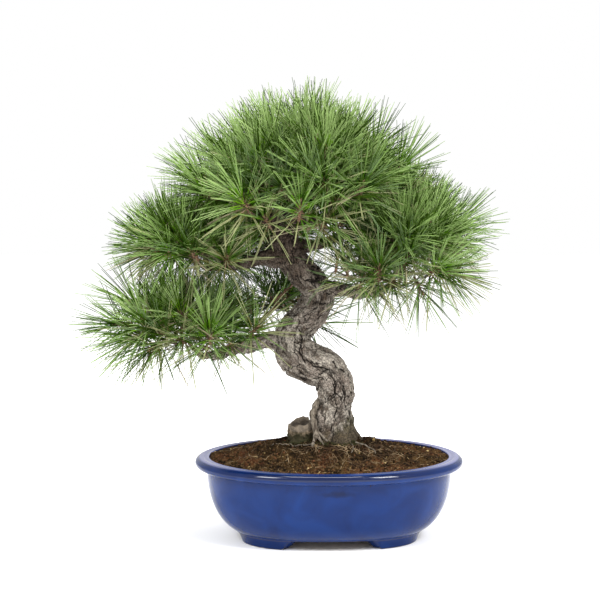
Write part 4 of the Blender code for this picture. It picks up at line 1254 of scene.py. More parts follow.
# %% [markdown]
# A thin root comes down the left side of the trunk and forks over the soil, and two more lie over the soil
# at the right of the trunk's foot. They are lines with a radius for the tube tree, kept on top of the soil
# and made a little crooked and uneven by noise.

# %% Climbing root
ROOT_ON_TRUNK = (
    (-0.0120, -0.0085, 0.1790, 0.0022),
    (-0.0165, -0.0120, 0.1720, 0.0034),
    (-0.0200, -0.0145, 0.1640, 0.0040),
    (-0.0210, -0.0170, 0.1560, 0.0040),
    (-0.0195, -0.0200, 0.1480, 0.0036),
    (-0.0175, -0.0230, 0.1405, 0.0032),
    (-0.0178, -0.0265, 0.1345, 0.0025),
    (-0.0195, -0.0310, 0.1290, 0.0018),
    (-0.0215, -0.0360, 0.1250, 0.0012),
    (-0.0225, -0.0420, 0.1210, 0.0009),
)
ROOT_FORKS = (
    (
        (-0.0172, -0.0240, 0.1385, 0.0023),
        (-0.0138, -0.0270, 0.1335, 0.0019),
        (-0.0105, -0.0310, 0.1290, 0.0014),
        (-0.0080, -0.0370, 0.1250, 0.0008),
    ),
    (
        (-0.0165, -0.0235, 0.1400, 0.0018),
        (-0.0115, -0.0255, 0.1365, 0.0015),
        (-0.0070, -0.0275, 0.1325, 0.0011),
        (-0.0030, -0.0310, 0.1280, 0.0007),
    ),
    (
        (-0.0190, -0.0355, 0.1265, 0.0010),
        (-0.0260, -0.0360, 0.1250, 0.0008),
        (-0.0400, -0.0350, 0.1235, 0.0006),
        (-0.0600, -0.0330, 0.1215, 0.0005),
        (-0.0760, -0.0300, 0.1180, 0.0004),
    ),
    (
        (-0.0205, -0.0350, 0.1260, 0.0010),
        (-0.0170, -0.0430, 0.1215, 0.0008),
        (-0.0140, -0.0500, 0.1190, 0.0005),
    ),
    (
        (0.0330, -0.0260, 0.1260, 0.0010),
        (0.0450, -0.0330, 0.1225, 0.0008),
        (0.0540, -0.0430, 0.1195, 0.0006),
        (0.0560, -0.0520, 0.1165, 0.0004),
    ),
    (
        (0.0260, -0.0290, 0.1250, 0.0009),
        (0.0300, -0.0420, 0.1215, 0.0007),
        (0.0260, -0.0560, 0.1180, 0.0005),
    ),
)
ROOT_THICKER, ROOT_UNEVEN = 1.12, 0.42
ROOT_STEP, ROOT_WANDER = 0.0016, 0.0012

root_skin = Finish("thin_root", (0.15, 0.125, 0.10), 0.85, Specular_IOR_Level=0.25)
streaks = root_skin.noise(330.0, 5.0, root_skin.stretched((1.0, 1.0, 0.35)), 0.5)
root_skin.mottle(streaks, 0.38, 0.62, (0.045, 0.034, 0.024), (0.200, 0.170, 0.132))
root_skin.bump(streaks, 0.0022)
roots = [smooth_line(rows, ROOT_STEP) for rows in (ROOT_ON_TRUNK, *ROOT_FORKS)]
for line in roots:
    line[:, :3] += POT_MIDDLE
    wander = [noise.noise_vector(Vector(point) * 110) for point in line[:, :3]]
    line[:, :3] += np.array(wander) * ROOT_WANDER
    uneven = np.array([noise.noise(Vector(point) * 190) for point in line[:, :3]])
    line[:, 3] *= ROOT_THICKER * (1 + ROOT_UNEVEN * uneven)
    resting = [surface_height(x, y) for x, y in line[:, :2]]
    line[:, 2] = np.maximum(line[:, 2], np.array(resting) + line[:, 3] * 0.4)
tube_piece("climbing_root", roots, 12, root_skin)

# %% [markdown]
# ## How the crown grows
#
# The crown is made of rounded clouds of shoots, as a bonsai is trained. Shoots end on the shell of their
# cloud, strewn by the golden angle, which spreads any number of them evenly. One stem grows from each
# bough's tip, and the shoots are joined to it nearest first, each by the shortest way back to the limb.
# The frame grew its shoots by this rule. Here the rule is the same, with about twice as many shoots and
# some of them deeper inside.
#
# A cloud has a middle, three radii, the frame's number of shoots, the lowest level of its shell and how
# many times more shoots it gets here. A mass is the share of a cloud that faces one way.

# %% Clouds and masses
CLOUDS = {
    "dome": ((-0.034, 0.002, 0.428), (0.127, 0.118, 0.094), 58, -0.14, 2.5),
    "mid_left": ((-0.182, -0.004, 0.364), (0.054, 0.064, 0.027), 13, -0.30, 2.5),
    "low_left": ((-0.194, -0.014, 0.267), (0.071, 0.074, 0.033), 16, -0.36, 2.2),
    "right": ((0.102, -0.014, 0.366), (0.055, 0.066, 0.040), 14, -0.28, 2.4),
    "right_back": ((0.094, 0.066, 0.394), (0.048, 0.052, 0.033), 9, -0.30, 2.2),
    "back": ((-0.085, 0.112, 0.372), (0.056, 0.050, 0.032), 9, -0.20, 1.8),
    "low_back": ((-0.060, 0.112, 0.286), (0.046, 0.044, 0.026), 9, -0.40, 1.2),
}
MASSES = {
    "apex": ("dome", (0.0, 0.0, 1.0)),
    "upper_left": ("dome", (-1.0, 0.0, 0.25)),
    "upper_right": ("dome", (1.0, 0.0, 0.25)),
    "upper_front": ("dome", (0.0, -1.0, 0.25)),
    "upper_back": ("dome", (0.0, 1.0, 0.25)),
    "mid_left": ("mid_left", (0.0, 0.0, 1.0)),
    "low_left": ("low_left", (0.0, 0.0, 1.0)),
    "right": ("right", (0.0, 0.0, 1.0)),
    "right_back": ("right_back", (0.0, 0.0, 1.0)),
    "back": ("back", (0.0, 0.0, 1.0)),
    "low_back": ("low_back", (0.0, 0.0, 1.0)),
}
for name, (middle, radii, *_) in CLOUDS.items():
    print(name, "reaches to", round(middle[2] + radii[2], 3), "m")

# %% [markdown]
# Some shoots stand out from the rest, most of them at the front, so they are given: a place, a heading and
# a sort. The sort is a depth in the cloud, which sets how bright and how full the shoot will be. A bright
# one counts as outside the cloud, and a dark one as deep inside. The strewn shoots keep clear of the given
# ones, and also of two hollows in the front of the dome.

# %% Given shoots
BRIGHT, PLAIN, DULL, DARK, FEW = -0.15, 0.05, 0.12, 1.05, 1.50
SHOWN = {
    "dome": (
        ((-0.038, -0.100, 0.408), (0.05, -0.50, 0.85), BRIGHT),
        ((-0.097, -0.086, 0.416), (-0.40, -0.45, 0.75), BRIGHT),
        ((0.032, -0.082, 0.434), (0.25, -0.45, 0.80), PLAIN),
        ((0.078, -0.058, 0.377), (0.60, -0.50, 0.50), BRIGHT),
        ((0.006, -0.040, 0.392), (0.45, -0.45, 0.60), PLAIN),
        ((-0.012, -0.066, 0.395), (0.30, -0.60, 0.60), DULL),
        ((-0.074, -0.070, 0.398), (-0.25, -0.70, 0.50), DULL),
        ((-0.140, -0.040, 0.428), (-0.70, -0.30, 0.70), PLAIN),
        ((-0.144, -0.006, 0.446), (-0.80, -0.10, 0.50), PLAIN),
        ((-0.126, 0.010, 0.462), (-0.60, 0.00, 0.75), PLAIN),
        ((-0.064, -0.012, 0.498), (-0.25, -0.10, 1.00), PLAIN),
        ((0.080, 0.004, 0.454), (0.60, -0.10, 0.72), PLAIN),
        ((0.050, -0.010, 0.480), (0.45, -0.15, 0.85), PLAIN),
        ((0.074, -0.010, 0.418), (0.70, -0.35, 0.50), DULL),
    ),
    "mid_left": (
        ((-0.162, -0.062, 0.358), (-0.45, -0.55, 0.60), PLAIN),
        ((-0.128, -0.044, 0.350), (0.20, -0.65, 0.50), DULL),
        ((-0.115, 0.010, 0.345), (0.40, 0.10, 0.55), DARK),
    ),
    "low_left": (
        ((-0.146, -0.064, 0.257), (-0.05, -0.50, 0.85), BRIGHT),
        ((-0.196, -0.060, 0.262), (-0.60, -0.50, 0.50), PLAIN),
        ((-0.176, -0.050, 0.280), (-0.30, -0.50, 0.75), PLAIN),
        ((-0.204, -0.046, 0.256), (-0.60, -0.60, -0.22), DULL),
        ((-0.244, -0.024, 0.272), (-0.92, -0.22, 0.16), PLAIN),
        ((-0.226, -0.040, 0.262), (-0.82, -0.40, -0.05), PLAIN),
        ((-0.236, 0.006, 0.290), (-0.72, -0.05, 0.62), PLAIN),
        ((-0.176, -0.046, 0.256), (-0.30, -0.75, 0.12), DULL),
        ((-0.124, -0.036, 0.250), (0.20, -0.80, 0.25), DARK),
        ((-0.150, -0.036, 0.246), (-0.20, -0.85, 0.10), DARK),
        ((-0.098, -0.034, 0.262), (0.35, -0.60, 0.60), DULL),
        ((-0.080, 0.030, 0.281), (0.60, 0.05, 0.55), FEW),
        ((-0.068, 0.026, 0.300), (0.60, 0.10, 0.60), FEW),
        ((-0.100, 0.036, 0.285), (-0.15, 0.20, 0.90), FEW),
        ((-0.120, 0.020, 0.282), (-0.30, 0.00, 0.80), DARK),
    ),
    "right": (
        ((0.058, -0.078, 0.334), (-0.05, -0.55, 0.80), BRIGHT),
        ((0.090, -0.062, 0.350), (0.25, -0.50, 0.80), BRIGHT),
        ((0.120, -0.054, 0.338), (0.45, -0.60, 0.50), BRIGHT),
        ((0.104, -0.046, 0.332), (0.30, -0.50, -0.42), DARK),
        ((0.130, -0.030, 0.340), (0.80, -0.30, -0.10), DULL),
        ((0.078, -0.044, 0.328), (-0.05, -0.75, 0.15), DULL),
        ((0.034, -0.044, 0.322), (0.15, -0.75, 0.35), DARK),
        ((0.040, -0.044, 0.330), (0.00, -0.55, 0.75), DULL),
        ((0.022, -0.022, 0.334), (0.00, -0.40, 0.85), FEW),
        ((0.008, -0.008, 0.340), (0.15, -0.40, 0.85), FEW),
        ((0.052, -0.036, 0.322), (0.10, -0.70, 0.45), DULL),
        ((0.018, -0.006, 0.350), (-0.20, -0.20, 0.80), DARK),
        ((0.046, -0.020, 0.356), (-0.10, -0.50, 0.75), DULL),
    ),
    "right_back": (
        ((0.146, 0.030, 0.384), (0.80, -0.10, 0.50), PLAIN),
    ),
    "low_back": (
        ((-0.030, 0.026, 0.268), (0.95, 0.05, 0.08), DARK),
        ((-0.032, 0.028, 0.274), (0.85, 0.05, 0.35), FEW),
    ),
}
HOLLOWS = {"dome": (((-0.071, -0.085, 0.473), 0.030), ((0.080, -0.070, 0.420), 0.026))}
print("given shoots", sum(len(shown) for shown in SHOWN.values()))

# %% Where the shoots end
GOLDEN_TURN = math.pi * (3 - math.sqrt(5))
INNER_SHARE, INNER_DEPTHS, SHELL_DEPTH = 0.20, (0.30, 0.55), 0.20
SHELL_POWER = 1.6
SHOOT_INSET = 0.016
CLEAR_ROUND_SHOWN = 0.026
UPWARD, STRAY, SHOWN_STRAY = 0.62, 0.28, 0.06
TURN_STRAY, LOW_ONES_LESS = 0.15, 0.8
draw = random.Random(7)


def stray(much):
    """A small push in a random direction."""
    return np.array([draw.gauss(0, much) for _ in range(3)])


def cloud_sites(cloud):
    """Places where shoots end, each with its way outwards, its depth in the cloud and the way it heads."""
    centre, radii, shoots, lowest, more = CLOUDS[cloud]
    shown = SHOWN.get(cloud, ())
    kept_clear = [(row[0], CLEAR_ROUND_SHOWN) for row in shown] + list(HOLLOWS.get(cloud, ()))
    count = round(shoots * more)
    found = []
    for i in range(count):
        level = 1 - (i + 0.5) / count * (1 - lowest)
        turn = GOLDEN_TURN * i + draw.uniform(-TURN_STRAY, TURN_STRAY)
        flat = math.sqrt(1 - level**2)
        out = np.array([flat * math.cos(turn), flat * math.sin(turn), level])
        inner = draw.random() < INNER_SHARE
        depth = draw.uniform(*INNER_DEPTHS) if inner else SHELL_DEPTH * draw.random()
        shell = np.sum(np.abs(out) ** SHELL_POWER) ** (-1 / SHELL_POWER)
        place = np.array(centre) + np.array(radii) * out * shell * (1 - depth)
        lifted = UPWARD * (1 + LOW_ONES_LESS * min(0.0, out[2]))
        heading = out + np.array([0, 0, lifted]) + stray(STRAY)
        if all(np.linalg.norm(place - middle) > size for middle, size in kept_clear):
            found.append((place - out * SHOOT_INSET + POT_MIDDLE, out, depth, unit(heading)))
    for place, heading, depth in shown:
        out = unit((np.array(place) - centre) / radii)
        found.append((np.array(place) + POT_MIDDLE, out, depth, unit(heading + stray(SHOWN_STRAY))))
    return found


def sites_of(name, sites):
    """The sites of a cloud that a mass takes: those that it faces more than its neighbours do."""
    cloud = MASSES[name][0]
    rivals = [other for other in MASSES if MASSES[other][0] == cloud]
    facings = np.array([unit(np.array(MASSES[other][1])) for other in rivals])
    return [site for site in sites[cloud] if rivals[int(np.argmax(facings @ site[1]))] == name]


sites = {cloud: cloud_sites(cloud) for cloud in CLOUDS}
print("shoots", sum(len(found) for found in sites.values()))

# %% [markdown]
# A twig remembers its parent, so that each new shoot can thicken everything that bears it: a twig's
# radius grows with the number of shoots beyond it. Twigs sag a little between their ends, wander, and end
# where the two centimetres of the shoot itself begin, which has a heading of its own.

# %% Twigs
TWIG_RADIUS, TWIG_BRANCHING = 0.0010, 0.42
TWIG_SAG, TWIG_STEP, TWIG_WANDER = 0.12, 0.0045, 0.0016
PATH_COST = 0.35
BOUGH_TIP_STEP, TRUNK_TIP_STEP = 0.014, 0.0125
STEM_RISE, STEM_BEND, STEM_STEP, STEM_SEAT = 0.45, 0.35, 0.018, 0.004


class Twig:
    """A woody line that grows from a point of its parent and ends in a shoot."""

    def __init__(self, line, parent=None):
        self.line = np.array(line)
        self.parent = parent
        self.borne = 1
        while parent is not None:
            parent.borne += 1
            parent = parent.parent

    def rows(self, thick=None):
        """The twig as a smooth line with radii."""
        thick = thick or TWIG_RADIUS * self.borne**TWIG_BRANCHING
        radii = np.linspace(thick, TWIG_RADIUS * 1.1, len(self.line))
        rows = smooth_line(np.column_stack((self.line, radii)), TWIG_STEP)
        wander = [noise.noise_vector(Vector(point) * 60) for point in rows[:, :3]]
        rows[1:-1, :3] += np.array(wander)[1:-1] * TWIG_WANDER
        return rows


def limb_tip(name):
    """Tip, heading and radius of the limb that bears a mass."""
    if name in BOUGHS:
        rows = bough_rows(name, BOUGH_TIP_STEP)
    else:
        rows = smooth_line(TRUNK_LINE, TRUNK_TIP_STEP)
    line = rows[:, :3] + POT_MIDDLE
    return line[-1], unit(line[-1] - line[-2]), rows[-1, 3]


def grow_mass(name, own):
    """The stem of a mass, its radius, and for each shoot its twig, heading, way outwards and depth."""
    tip, heading, radius = limb_tip(name)
    middle = np.mean([site[0] for site in own], axis=0)
    stump_hollow_shade = middle - np.array([0, 0, STEM_RISE * max(0.0, middle[2] - tip[2])])
    bend = tip + heading * STEM_BEND * np.linalg.norm(stump_hollow_shade - tip)
    start = tip - heading * STEM_SEAT
    stem = Twig(smooth_line((start, bend, stump_hollow_shade), STEM_STEP))
    joints = [(place, stem, np.linalg.norm(place - tip)) for place in stem.line[1:]]
    shoots = []
    for place, out, depth, way in sorted(own, key=lambda site: np.linalg.norm(site[0] - tip)):
        costs = [np.linalg.norm(place - joint[0]) + PATH_COST * joint[2] for joint in joints]
        origin, parent, length = joints[int(np.argmin(costs))]
        reach = np.linalg.norm(place - origin)
        halfway = (origin + place) / 2 - np.array([0, 0, TWIG_SAG * reach])
        twig = Twig((origin, halfway, place), parent)
        joints.append((halfway, twig, length + reach / 2))
        shoots.append((twig, way, out, depth))
    return stem, radius, shoots


grown = {name: grow_mass(name, sites_of(name, sites)) for name in MASSES}
for name, (_, _, shoots) in grown.items():
    print(name, len(shoots), "shoots")

# %% Twig tubes
twig_lines = []
for stem, radius, shoots in grown.values():
    twig_lines.append(stem.rows(radius))
    twig_lines += [shoot[0].rows() for shoot in shoots]
twig_bark = Finish("twig_bark", (0.09, 0.06, 0.04), 0.9, Specular_IOR_Level=0.25)
scaly = twig_bark.noise(240.0, 4.0, distortion=0.6)
twig_bark.mottle(scaly, 0.36, 0.66, (0.030, 0.020, 0.013), (0.125, 0.092, 0.062))
twig_bark.bump(scaly, 0.0016)
tube_piece("twigs", twig_lines, 7, twig_bark)

# %% [markdown]
# ## Needles
#
# Aleppo pine needles grow in pairs from a short brown sheath, spiralling up the last two centimetres of a
# shoot. The oldest, at the bottom of the shoot, stand straight out or hang, and the youngest point along
# it. Each needle is one point with a direction, a length, a bend and a tone, and a Geometry Nodes tree
# puts a slim three-sided spike on it. A tone is one plain colour for the needle's base and one for the
# rest of it, so the tree sets two materials for each.

# %% Needle tree
GREEN_CHANGES_AT = 0.34


def needle_tree(finishes):
    """Spikes on points that carry way, size, bend and tone. A tone has a finish for its base and its rest."""
    inputs = {"Radius": "Float", "Tip Share": "Float", "Points Along": "Int", "Corners": "Int"}
    tree = Tree("needles", inputs)
    straight = tree.add("GeometryNodeCurvePrimitiveLine", {}, {"Start": (0, 0, 0), "End": (0, 0, 1)})
    counted = {"Curve": straight, "Count": tree.input("Points Along")}
    counted = tree.add("GeometryNodeResampleCurve", {}, counted)
    factor = tree.add("GeometryNodeSplineParameter", out="Factor")
    marked = {"Geometry": counted, "Name": "along", "Value": factor}
    marked = tree.add("GeometryNodeStoreNamedAttribute", {"data_type": "FLOAT", "domain": "POINT"}, marked)
    taper = 1 - (factor**5) * (1 - tree.input("Tip Share"))
    ring = {"Resolution": tree.input("Corners"), "Radius": 1.0}
    ring = tree.add("GeometryNodeCurvePrimitiveCircle", {}, ring)
    swept = {"Curve": marked, "Profile Curve": ring, "Scale": taper * tree.input("Radius"), "Fill Caps": True}
    spike = tree.add("GeometryNodeCurveToMesh", {}, swept)
    aimed = {"Vector": tree.named("way", "FLOAT_VECTOR")}
    turns = tree.add("FunctionNodeAlignRotationToVector", {"axis": "Z"}, aimed)
    scale = tree.add("ShaderNodeCombineXYZ", {}, {"X": 1.0, "Y": 1.0, "Z": tree.named("size")})
    placed = {"Points": tree.input("Geometry"), "Instance": spike, "Rotation": turns, "Scale": scale}
    spikes = tree.add("GeometryNodeInstanceOnPoints", {}, placed)
    real = tree.add("GeometryNodeRealizeInstances", {}, {"Geometry": spikes})
    squared = tree.named("along") * tree.named("along")
    bend = {0: tree.named("bend", "FLOAT_VECTOR"), "Scale": squared}
    bend = tree.add("ShaderNodeVectorMath", {"operation": "SCALE"}, bend)
    made = tree.add("GeometryNodeSetPosition", {}, {"Geometry": real, "Offset": bend})
    made = tree.add("GeometryNodeSetShadeSmooth", {}, {"Geometry": made})
    at_base = {0: tree.named("along"), 1: GREEN_CHANGES_AT}
    at_base = tree.add("FunctionNodeCompare", {"data_type": "FLOAT", "operation": "LESS_THAN"}, at_base)
    for tone, pair in enumerate(finishes):
        same = {2: tree.named("tone", "INT"), 3: tone}
        same = tree.add("FunctionNodeCompare", {"data_type": "INT", "operation": "EQUAL"}, same)
        both = tree.add("FunctionNodeBooleanMath", {"operation": "AND"}, {0: same, 1: at_base})
        for chosen, finish in ((same, pair[-1]), (both, pair[0])):
            made = {"Geometry": made, "Selection": chosen, "Material": finish.material}
            made = tree.add("GeometryNodeSetMaterial", {}, made)
    tree.end(made)
    return tree


def point_mesh(way, size, bend, tone, root):
    """A mesh of bare points that carry what a needle needs."""
    mesh = bpy.data.meshes.new("needle_points")
    mesh.vertices.add(len(root))
    mesh.vertices.foreach_set("co", root.astype(np.float32).ravel())
    for name, values in (("way", way), ("bend", bend)):
        data = mesh.attributes.new(name, "FLOAT_VECTOR", "POINT").data
        data.foreach_set("vector", values.astype(np.float32).ravel())
    mesh.attributes.new("tone", "INT", "POINT").data.foreach_set("value", tone.astype(np.int32))
    keep_numbers(mesh, "size", size)
    return mesh


# %% [markdown]
# The colour goes by spray, as painted light: every shoot takes one green, from the light that reaches it. A
# shoot on top of its cloud is painted bright. One that faces down, lies deep or stands in the shade of the
# dome is painted duller, and three sorts of the given shoots have a set green. In each spray some needles
# take the next brighter green as painted light and some the deepest as painted shade, and the oldest may be
# olive or brown.

# %% Greens
# painted light and shade: the greens from the brightest down to deep are lit and shaded copies of the
# needles' green; olive and old are the needles' own colours
NEEDLE_GREENS = {
    "fresh": ((0.165, 0.345, 0.006), (0.268, 0.376, 0.130)),
    "grass": ((0.112, 0.265, 0.004), (0.202, 0.304, 0.090)),
    "leaf": ((0.070, 0.182, 0.003), (0.140, 0.226, 0.056)),
    "blue": ((0.050, 0.106, 0.012), (0.098, 0.156, 0.056)),
    "deep": ((0.014, 0.042, 0.001), (0.026, 0.057, 0.003)),
    "olive": ((0.160, 0.162, 0.046), (0.250, 0.264, 0.122)),
    "old": ((0.210, 0.165, 0.092), (0.280, 0.245, 0.150)),
}
TONES = list(NEEDLE_GREENS)
BRIGHTER = {
    "fresh": "fresh",
    "grass": "fresh",
    "leaf": "grass",
    "blue": "leaf",
    "deep": "blue",
    "olive": "leaf",
}
GIVEN_TONES = {DULL: "olive", DARK: "blue", FEW: "blue"}
LIGHT_LIMITS = ((0.52, "fresh"), (0.18, "grass"), (-0.12, "leaf"), (-0.42, "blue"))
SHADE = {"low_left": 0.09, "mid_left": 0.10, "right": 0.03, "right_back": 0.08, "low_back": 0.12}
FROM_ABOVE, FROM_FRONT, LOST_INSIDE, LIGHT_VARIES = 0.50, 0.10, 1.2, 0.20
OLDEST, OLDER_WITH_AGE, INSIDE_FROM = 0.16, 0.16, 0.40
FADED_UP_TO, BROWN_UP_TO, BRIGHTER_UP_TO, DEEP_FROM = 0.70, 0.14, 0.30, 0.67


def tone_of(out, depth, shade):
    """The green of a spray, from the light it gets."""
    light = FROM_ABOVE * out[2] - FROM_FRONT * out[1] - LOST_INSIDE * depth
    light = light + draw.gauss(0, LIGHT_VARIES) - shade
    if depth in GIVEN_TONES:
        return GIVEN_TONES[depth]
    for limit, tone in LIGHT_LIMITS:
        if light > limit:
            return tone
    return "deep"


def spread_tones(main, up, age, depth, chance):
    """A tone for each needle of a spray. Up runs from the oldest needle to the youngest."""
    tone = np.full(len(up), TONES.index(main))
    low = up < OLDEST + OLDER_WITH_AGE * age
    tone[low & (chance < FADED_UP_TO)] = TONES.index("olive" if depth < INSIDE_FROM else "deep")
    tone[low & (chance < BROWN_UP_TO * age)] = TONES.index("old")
    tone[~low & (chance < BRIGHTER_UP_TO)] = TONES.index(BRIGHTER[main])
    tone[~low & (chance > DEEP_FROM)] = TONES.index("deep")
    return tone


print("greens", len(TONES))

# %% [markdown]
# The numbers of one shoot's needles are worked out together as arrays. Each pair of needles stands on the
# shoot at its own height and turn, and leans out less the nearer it is to the tip. A shoot that lies deep
# has fewer needles, and so have the masses at the back, which would otherwise close the gaps between the
# boughs. Needles of a shoot that faces down hang more.

# %% Needles of one shoot
SHOOT_LENGTH, SHOOT_FACTORS = 0.020, (0.75, 1.25)
FASCICLES, FASCICLE_FACTORS, FEWER_INSIDE = 50, (0.8, 1.15), 0.5
FULLNESS = {"low_back": 0.54, "back": 0.85}
NEEDLE_LENGTH, NEEDLE_FACTORS, NEEDLE_VARIES = 0.060, (0.88, 1.10), 0.009
FIRST_TURN, SIDE_HINT = 6.3, (0.31, 0.95, 0.05)
LEAN_AT, LEAN_STRAY = ((0, 0.15, 0.5, 1), (104, 80, 48, 12)), 12
PAIR_APART = math.radians(2.3)
BEND, BEND_VARIES = -0.01, 0.022
SAG, SAG_OF_OLD, SAG_FACING_DOWN = 0.01, 0.05, 0.04
numbers = np.random.default_rng(11)


def shoot_needles(twig, heading, out, depth, cloud):
    """Arrays of way, size, bend, tone and root for the needles of one shoot, and what its sheaths need."""
    full = (1 - FEWER_INSIDE * depth) * FULLNESS.get(cloud, 1.0)
    count = round(FASCICLES * draw.uniform(*FASCICLE_FACTORS) * full)
    age = draw.random()
    base = twig.line[-1]
    length = SHOOT_LENGTH * draw.uniform(*SHOOT_FACTORS)
    up = (np.arange(count) + 0.5) / count
    turn = GOLDEN_TURN * np.arange(count) + draw.uniform(0, FIRST_TURN)
    side = unit(np.cross(heading, SIDE_HINT))
    other = np.cross(heading, side)
    around = np.cos(turn)[:, None] * side + np.sin(turn)[:, None] * other
    lean = np.radians(np.interp(up, *LEAN_AT) + numbers.normal(0, LEAN_STRAY, count))
    way = np.cos(lean)[:, None] * heading + np.sin(lean)[:, None] * around
    root = base + heading * (length * up)[:, None] + around * TWIG_RADIUS
    beside = np.cross(way, numbers.normal(0, 1, (count, 3)))
    beside /= np.linalg.norm(beside, axis=1)[:, None]
    pair = np.concatenate((way + beside * PAIR_APART, way - beside * PAIR_APART))
    pair /= np.linalg.norm(pair, axis=1)[:, None]
    size = NEEDLE_LENGTH * draw.uniform(*NEEDLE_FACTORS) + numbers.uniform(-1, 1, 2 * count) * NEEDLE_VARIES
    bent = size * numbers.normal(BEND, BEND_VARIES, 2 * count)
    bend = np.concatenate((beside, -beside)) * bent[:, None]
    bend[:, 2] -= size * (SAG + SAG_OF_OLD * (1 - np.tile(up, 2)) + SAG_FACING_DOWN * (out[2] < 0))
    main = tone_of(out, depth, SHADE.get(cloud, 0.0))
    tone = np.tile(spread_tones(main, up, age, depth, numbers.random(count)), 2)
    return pair, size, bend, tone, np.tile(root, (2, 1)), (heading, way, root, base, length)


# %% [markdown]
# The needles of each mass become one piece, which stands for that mass of the frame. Every green is a
# plain colour of its own, as a pattern on such thin spikes would be lost anyway. The wax on them makes
# them shine a little, apart from the deep ones, which stand for the shadow inside a spray.

# %% Make the needles
NEEDLE_RADIUS = 0.00052
NEEDLE_ROUGHNESS, WAX, DEEP_WAX = 0.46, 0.24, 0.06
greens = []
for tone, (base_green, green) in NEEDLE_GREENS.items():
    wax = DEEP_WAX if tone == "deep" else WAX
    at_base = Finish("needle_" + tone + "_base", base_green, NEEDLE_ROUGHNESS, Specular_IOR_Level=wax)
    greens.append([at_base, Finish("needle_" + tone, green, NEEDLE_ROUGHNESS, Specular_IOR_Level=wax)])
needles = needle_tree(greens)
spikes = {"Radius": NEEDLE_RADIUS, "Tip Share": 0.62, "Points Along": 4, "Corners": 3}
fascicles = []
for name, (_, _, shoots) in grown.items():
    batches = []
    for twig, heading, out, depth in shoots:
        *batch, fascicle = shoot_needles(twig, heading, out, depth, MASSES[name][0])
        batches.append(batch)
        fascicles.append(fascicle)
    arrays = [np.concatenate(column) for column in zip(*batches)]
    mesh = run_tree(needles, point_mesh(*arrays), spikes, "needles_" + name)
    piece("needles_" + name, mesh, (), ["foliage_" + name])

# %% [markdown]
# ## Sheaths, shoots and buds
#
# What shows brown in the middle of each spray is the shoot itself, rough with scales, the sheaths that
# hold each pair of needles, and a bud at the end. The same needle tree makes the sheaths, only shorter
# and thicker, and the tube tree makes the shoots and their buds.

# %% Sheaths
SHEATH_LENGTH, SHEATH_RADIUS = 0.0080, 0.00085
SHEATH_COLOURS = {
    "sheath_brown": (0.190, 0.110, 0.066),
    "sheath_tan": (0.290, 0.200, 0.130),
    "sheath_dark": (0.085, 0.052, 0.034),
}
SHEATH_SHARES = (0.45, 0.2, 0.35)


def plain_finishes(colours, roughness, shine):
    """One finish for each named colour, in the way that the needle tree takes them."""
    rows = colours.items()
    return [[Finish(name, colour, roughness, Specular_IOR_Level=shine)] for name, colour in rows]


sheath_tree = needle_tree(plain_finishes(SHEATH_COLOURS, 0.8, 0.3))
ways = np.concatenate([fascicle[1] for fascicle in fascicles])
roots = np.concatenate([fascicle[2] for fascicle in fascicles])
sizes = SHEATH_LENGTH * numbers.uniform(0.8, 1.2, len(roots))
tones = numbers.choice(len(SHEATH_SHARES), len(roots), p=SHEATH_SHARES)
sheath_points = point_mesh(ways, sizes, np.zeros_like(roots), tones, roots)
spikes = {"Radius": SHEATH_RADIUS, "Tip Share": 0.75, "Points Along": 2, "Corners": 3}
piece("sheaths", run_tree(sheath_tree, sheath_points, spikes, "sheaths"), ())

# %% Shoots and buds
SHOOT_SEAT = 0.004
SHOOT_RADII = (0.0014, 0.0020, 0.0019, 0.0013)
BUD_PROFILE = ((0.0, 0.0012), (0.0015, 0.0016), (0.0035, 0.0013), (0.0050, 0.0007), (0.0058, 0.0002))
shoot_lines, bud_lines = [], []
for heading, _, _, base, length in fascicles:
    tip = base + heading * length
    places = (base - heading * SHOOT_SEAT, base, (base + tip) / 2, tip)
    shoot_lines.append(np.column_stack((places, SHOOT_RADII)))
    bud_lines.append(np.array([(*(tip + heading * far), radius) for far, radius in BUD_PROFILE]))

shoot_bark = Finish("shoot_bark", (0.20, 0.11, 0.065), 0.85, Specular_IOR_Level=0.3)
scales = shoot_bark.noise(500.0, 3.0)
shoot_bark.mottle(scales, 0.36, 0.64, (0.090, 0.048, 0.030), (0.300, 0.180, 0.110))
shoot_bark.bump(scales, 0.0012)
tube_piece("shoots", shoot_lines, 6, shoot_bark)
bud_scale = Finish("bud_scale", (0.30, 0.14, 0.07), 0.6, Specular_IOR_Level=0.4)
bud_scale.mottle(bud_scale.noise(900.0), 0.4, 0.6, (0.200, 0.085, 0.045), (0.480, 0.330, 0.220))
tube_piece("buds", bud_lines, 6, bud_scale)

# %% [markdown]
# ## Moss
#
# Short moss grows where the trunk and the stump meet the soil. The needle tree makes it too, with tiny
# spikes that stand up from points strewn round their feet. A patch has a place, a size and a number of
# spikes, and is wider than it is deep.

# %% Moss
MOSS_COLOURS = {
    "moss_green": (0.030, 0.036, 0.008),
    "moss_dark": (0.012, 0.014, 0.004),
    "moss_dry": (0.052, 0.044, 0.016),
}
MOSS_PATCHES = (
    ((0.026, -0.026), 0.014, 900),
    ((-0.040, -0.022), 0.015, 700),
    ((-0.004, -0.032), 0.012, 300),
    ((0.010, 0.036), 0.020, 400),
)
MOSS_IN_SOIL = 0.0003
MOSS_LENGTHS, MOSS_LEAN = (0.0012, 0.0032), 0.45
MOSS_ACROSS, MOSS_BACK = 0.6, 0.35
moss_tree = needle_tree(plain_finishes(MOSS_COLOURS, 0.9, 0.2))
roots = []
for (across, back), spread, count in MOSS_PATCHES:
    for _ in range(count):
        x = POT_MIDDLE[0] + across + draw.gauss(0, spread * MOSS_ACROSS)
        y = POT_MIDDLE[1] + back + draw.gauss(0, spread * MOSS_BACK)
        roots.append((x, y, surface_height(x, y) - MOSS_IN_SOIL))
roots = np.array(roots)
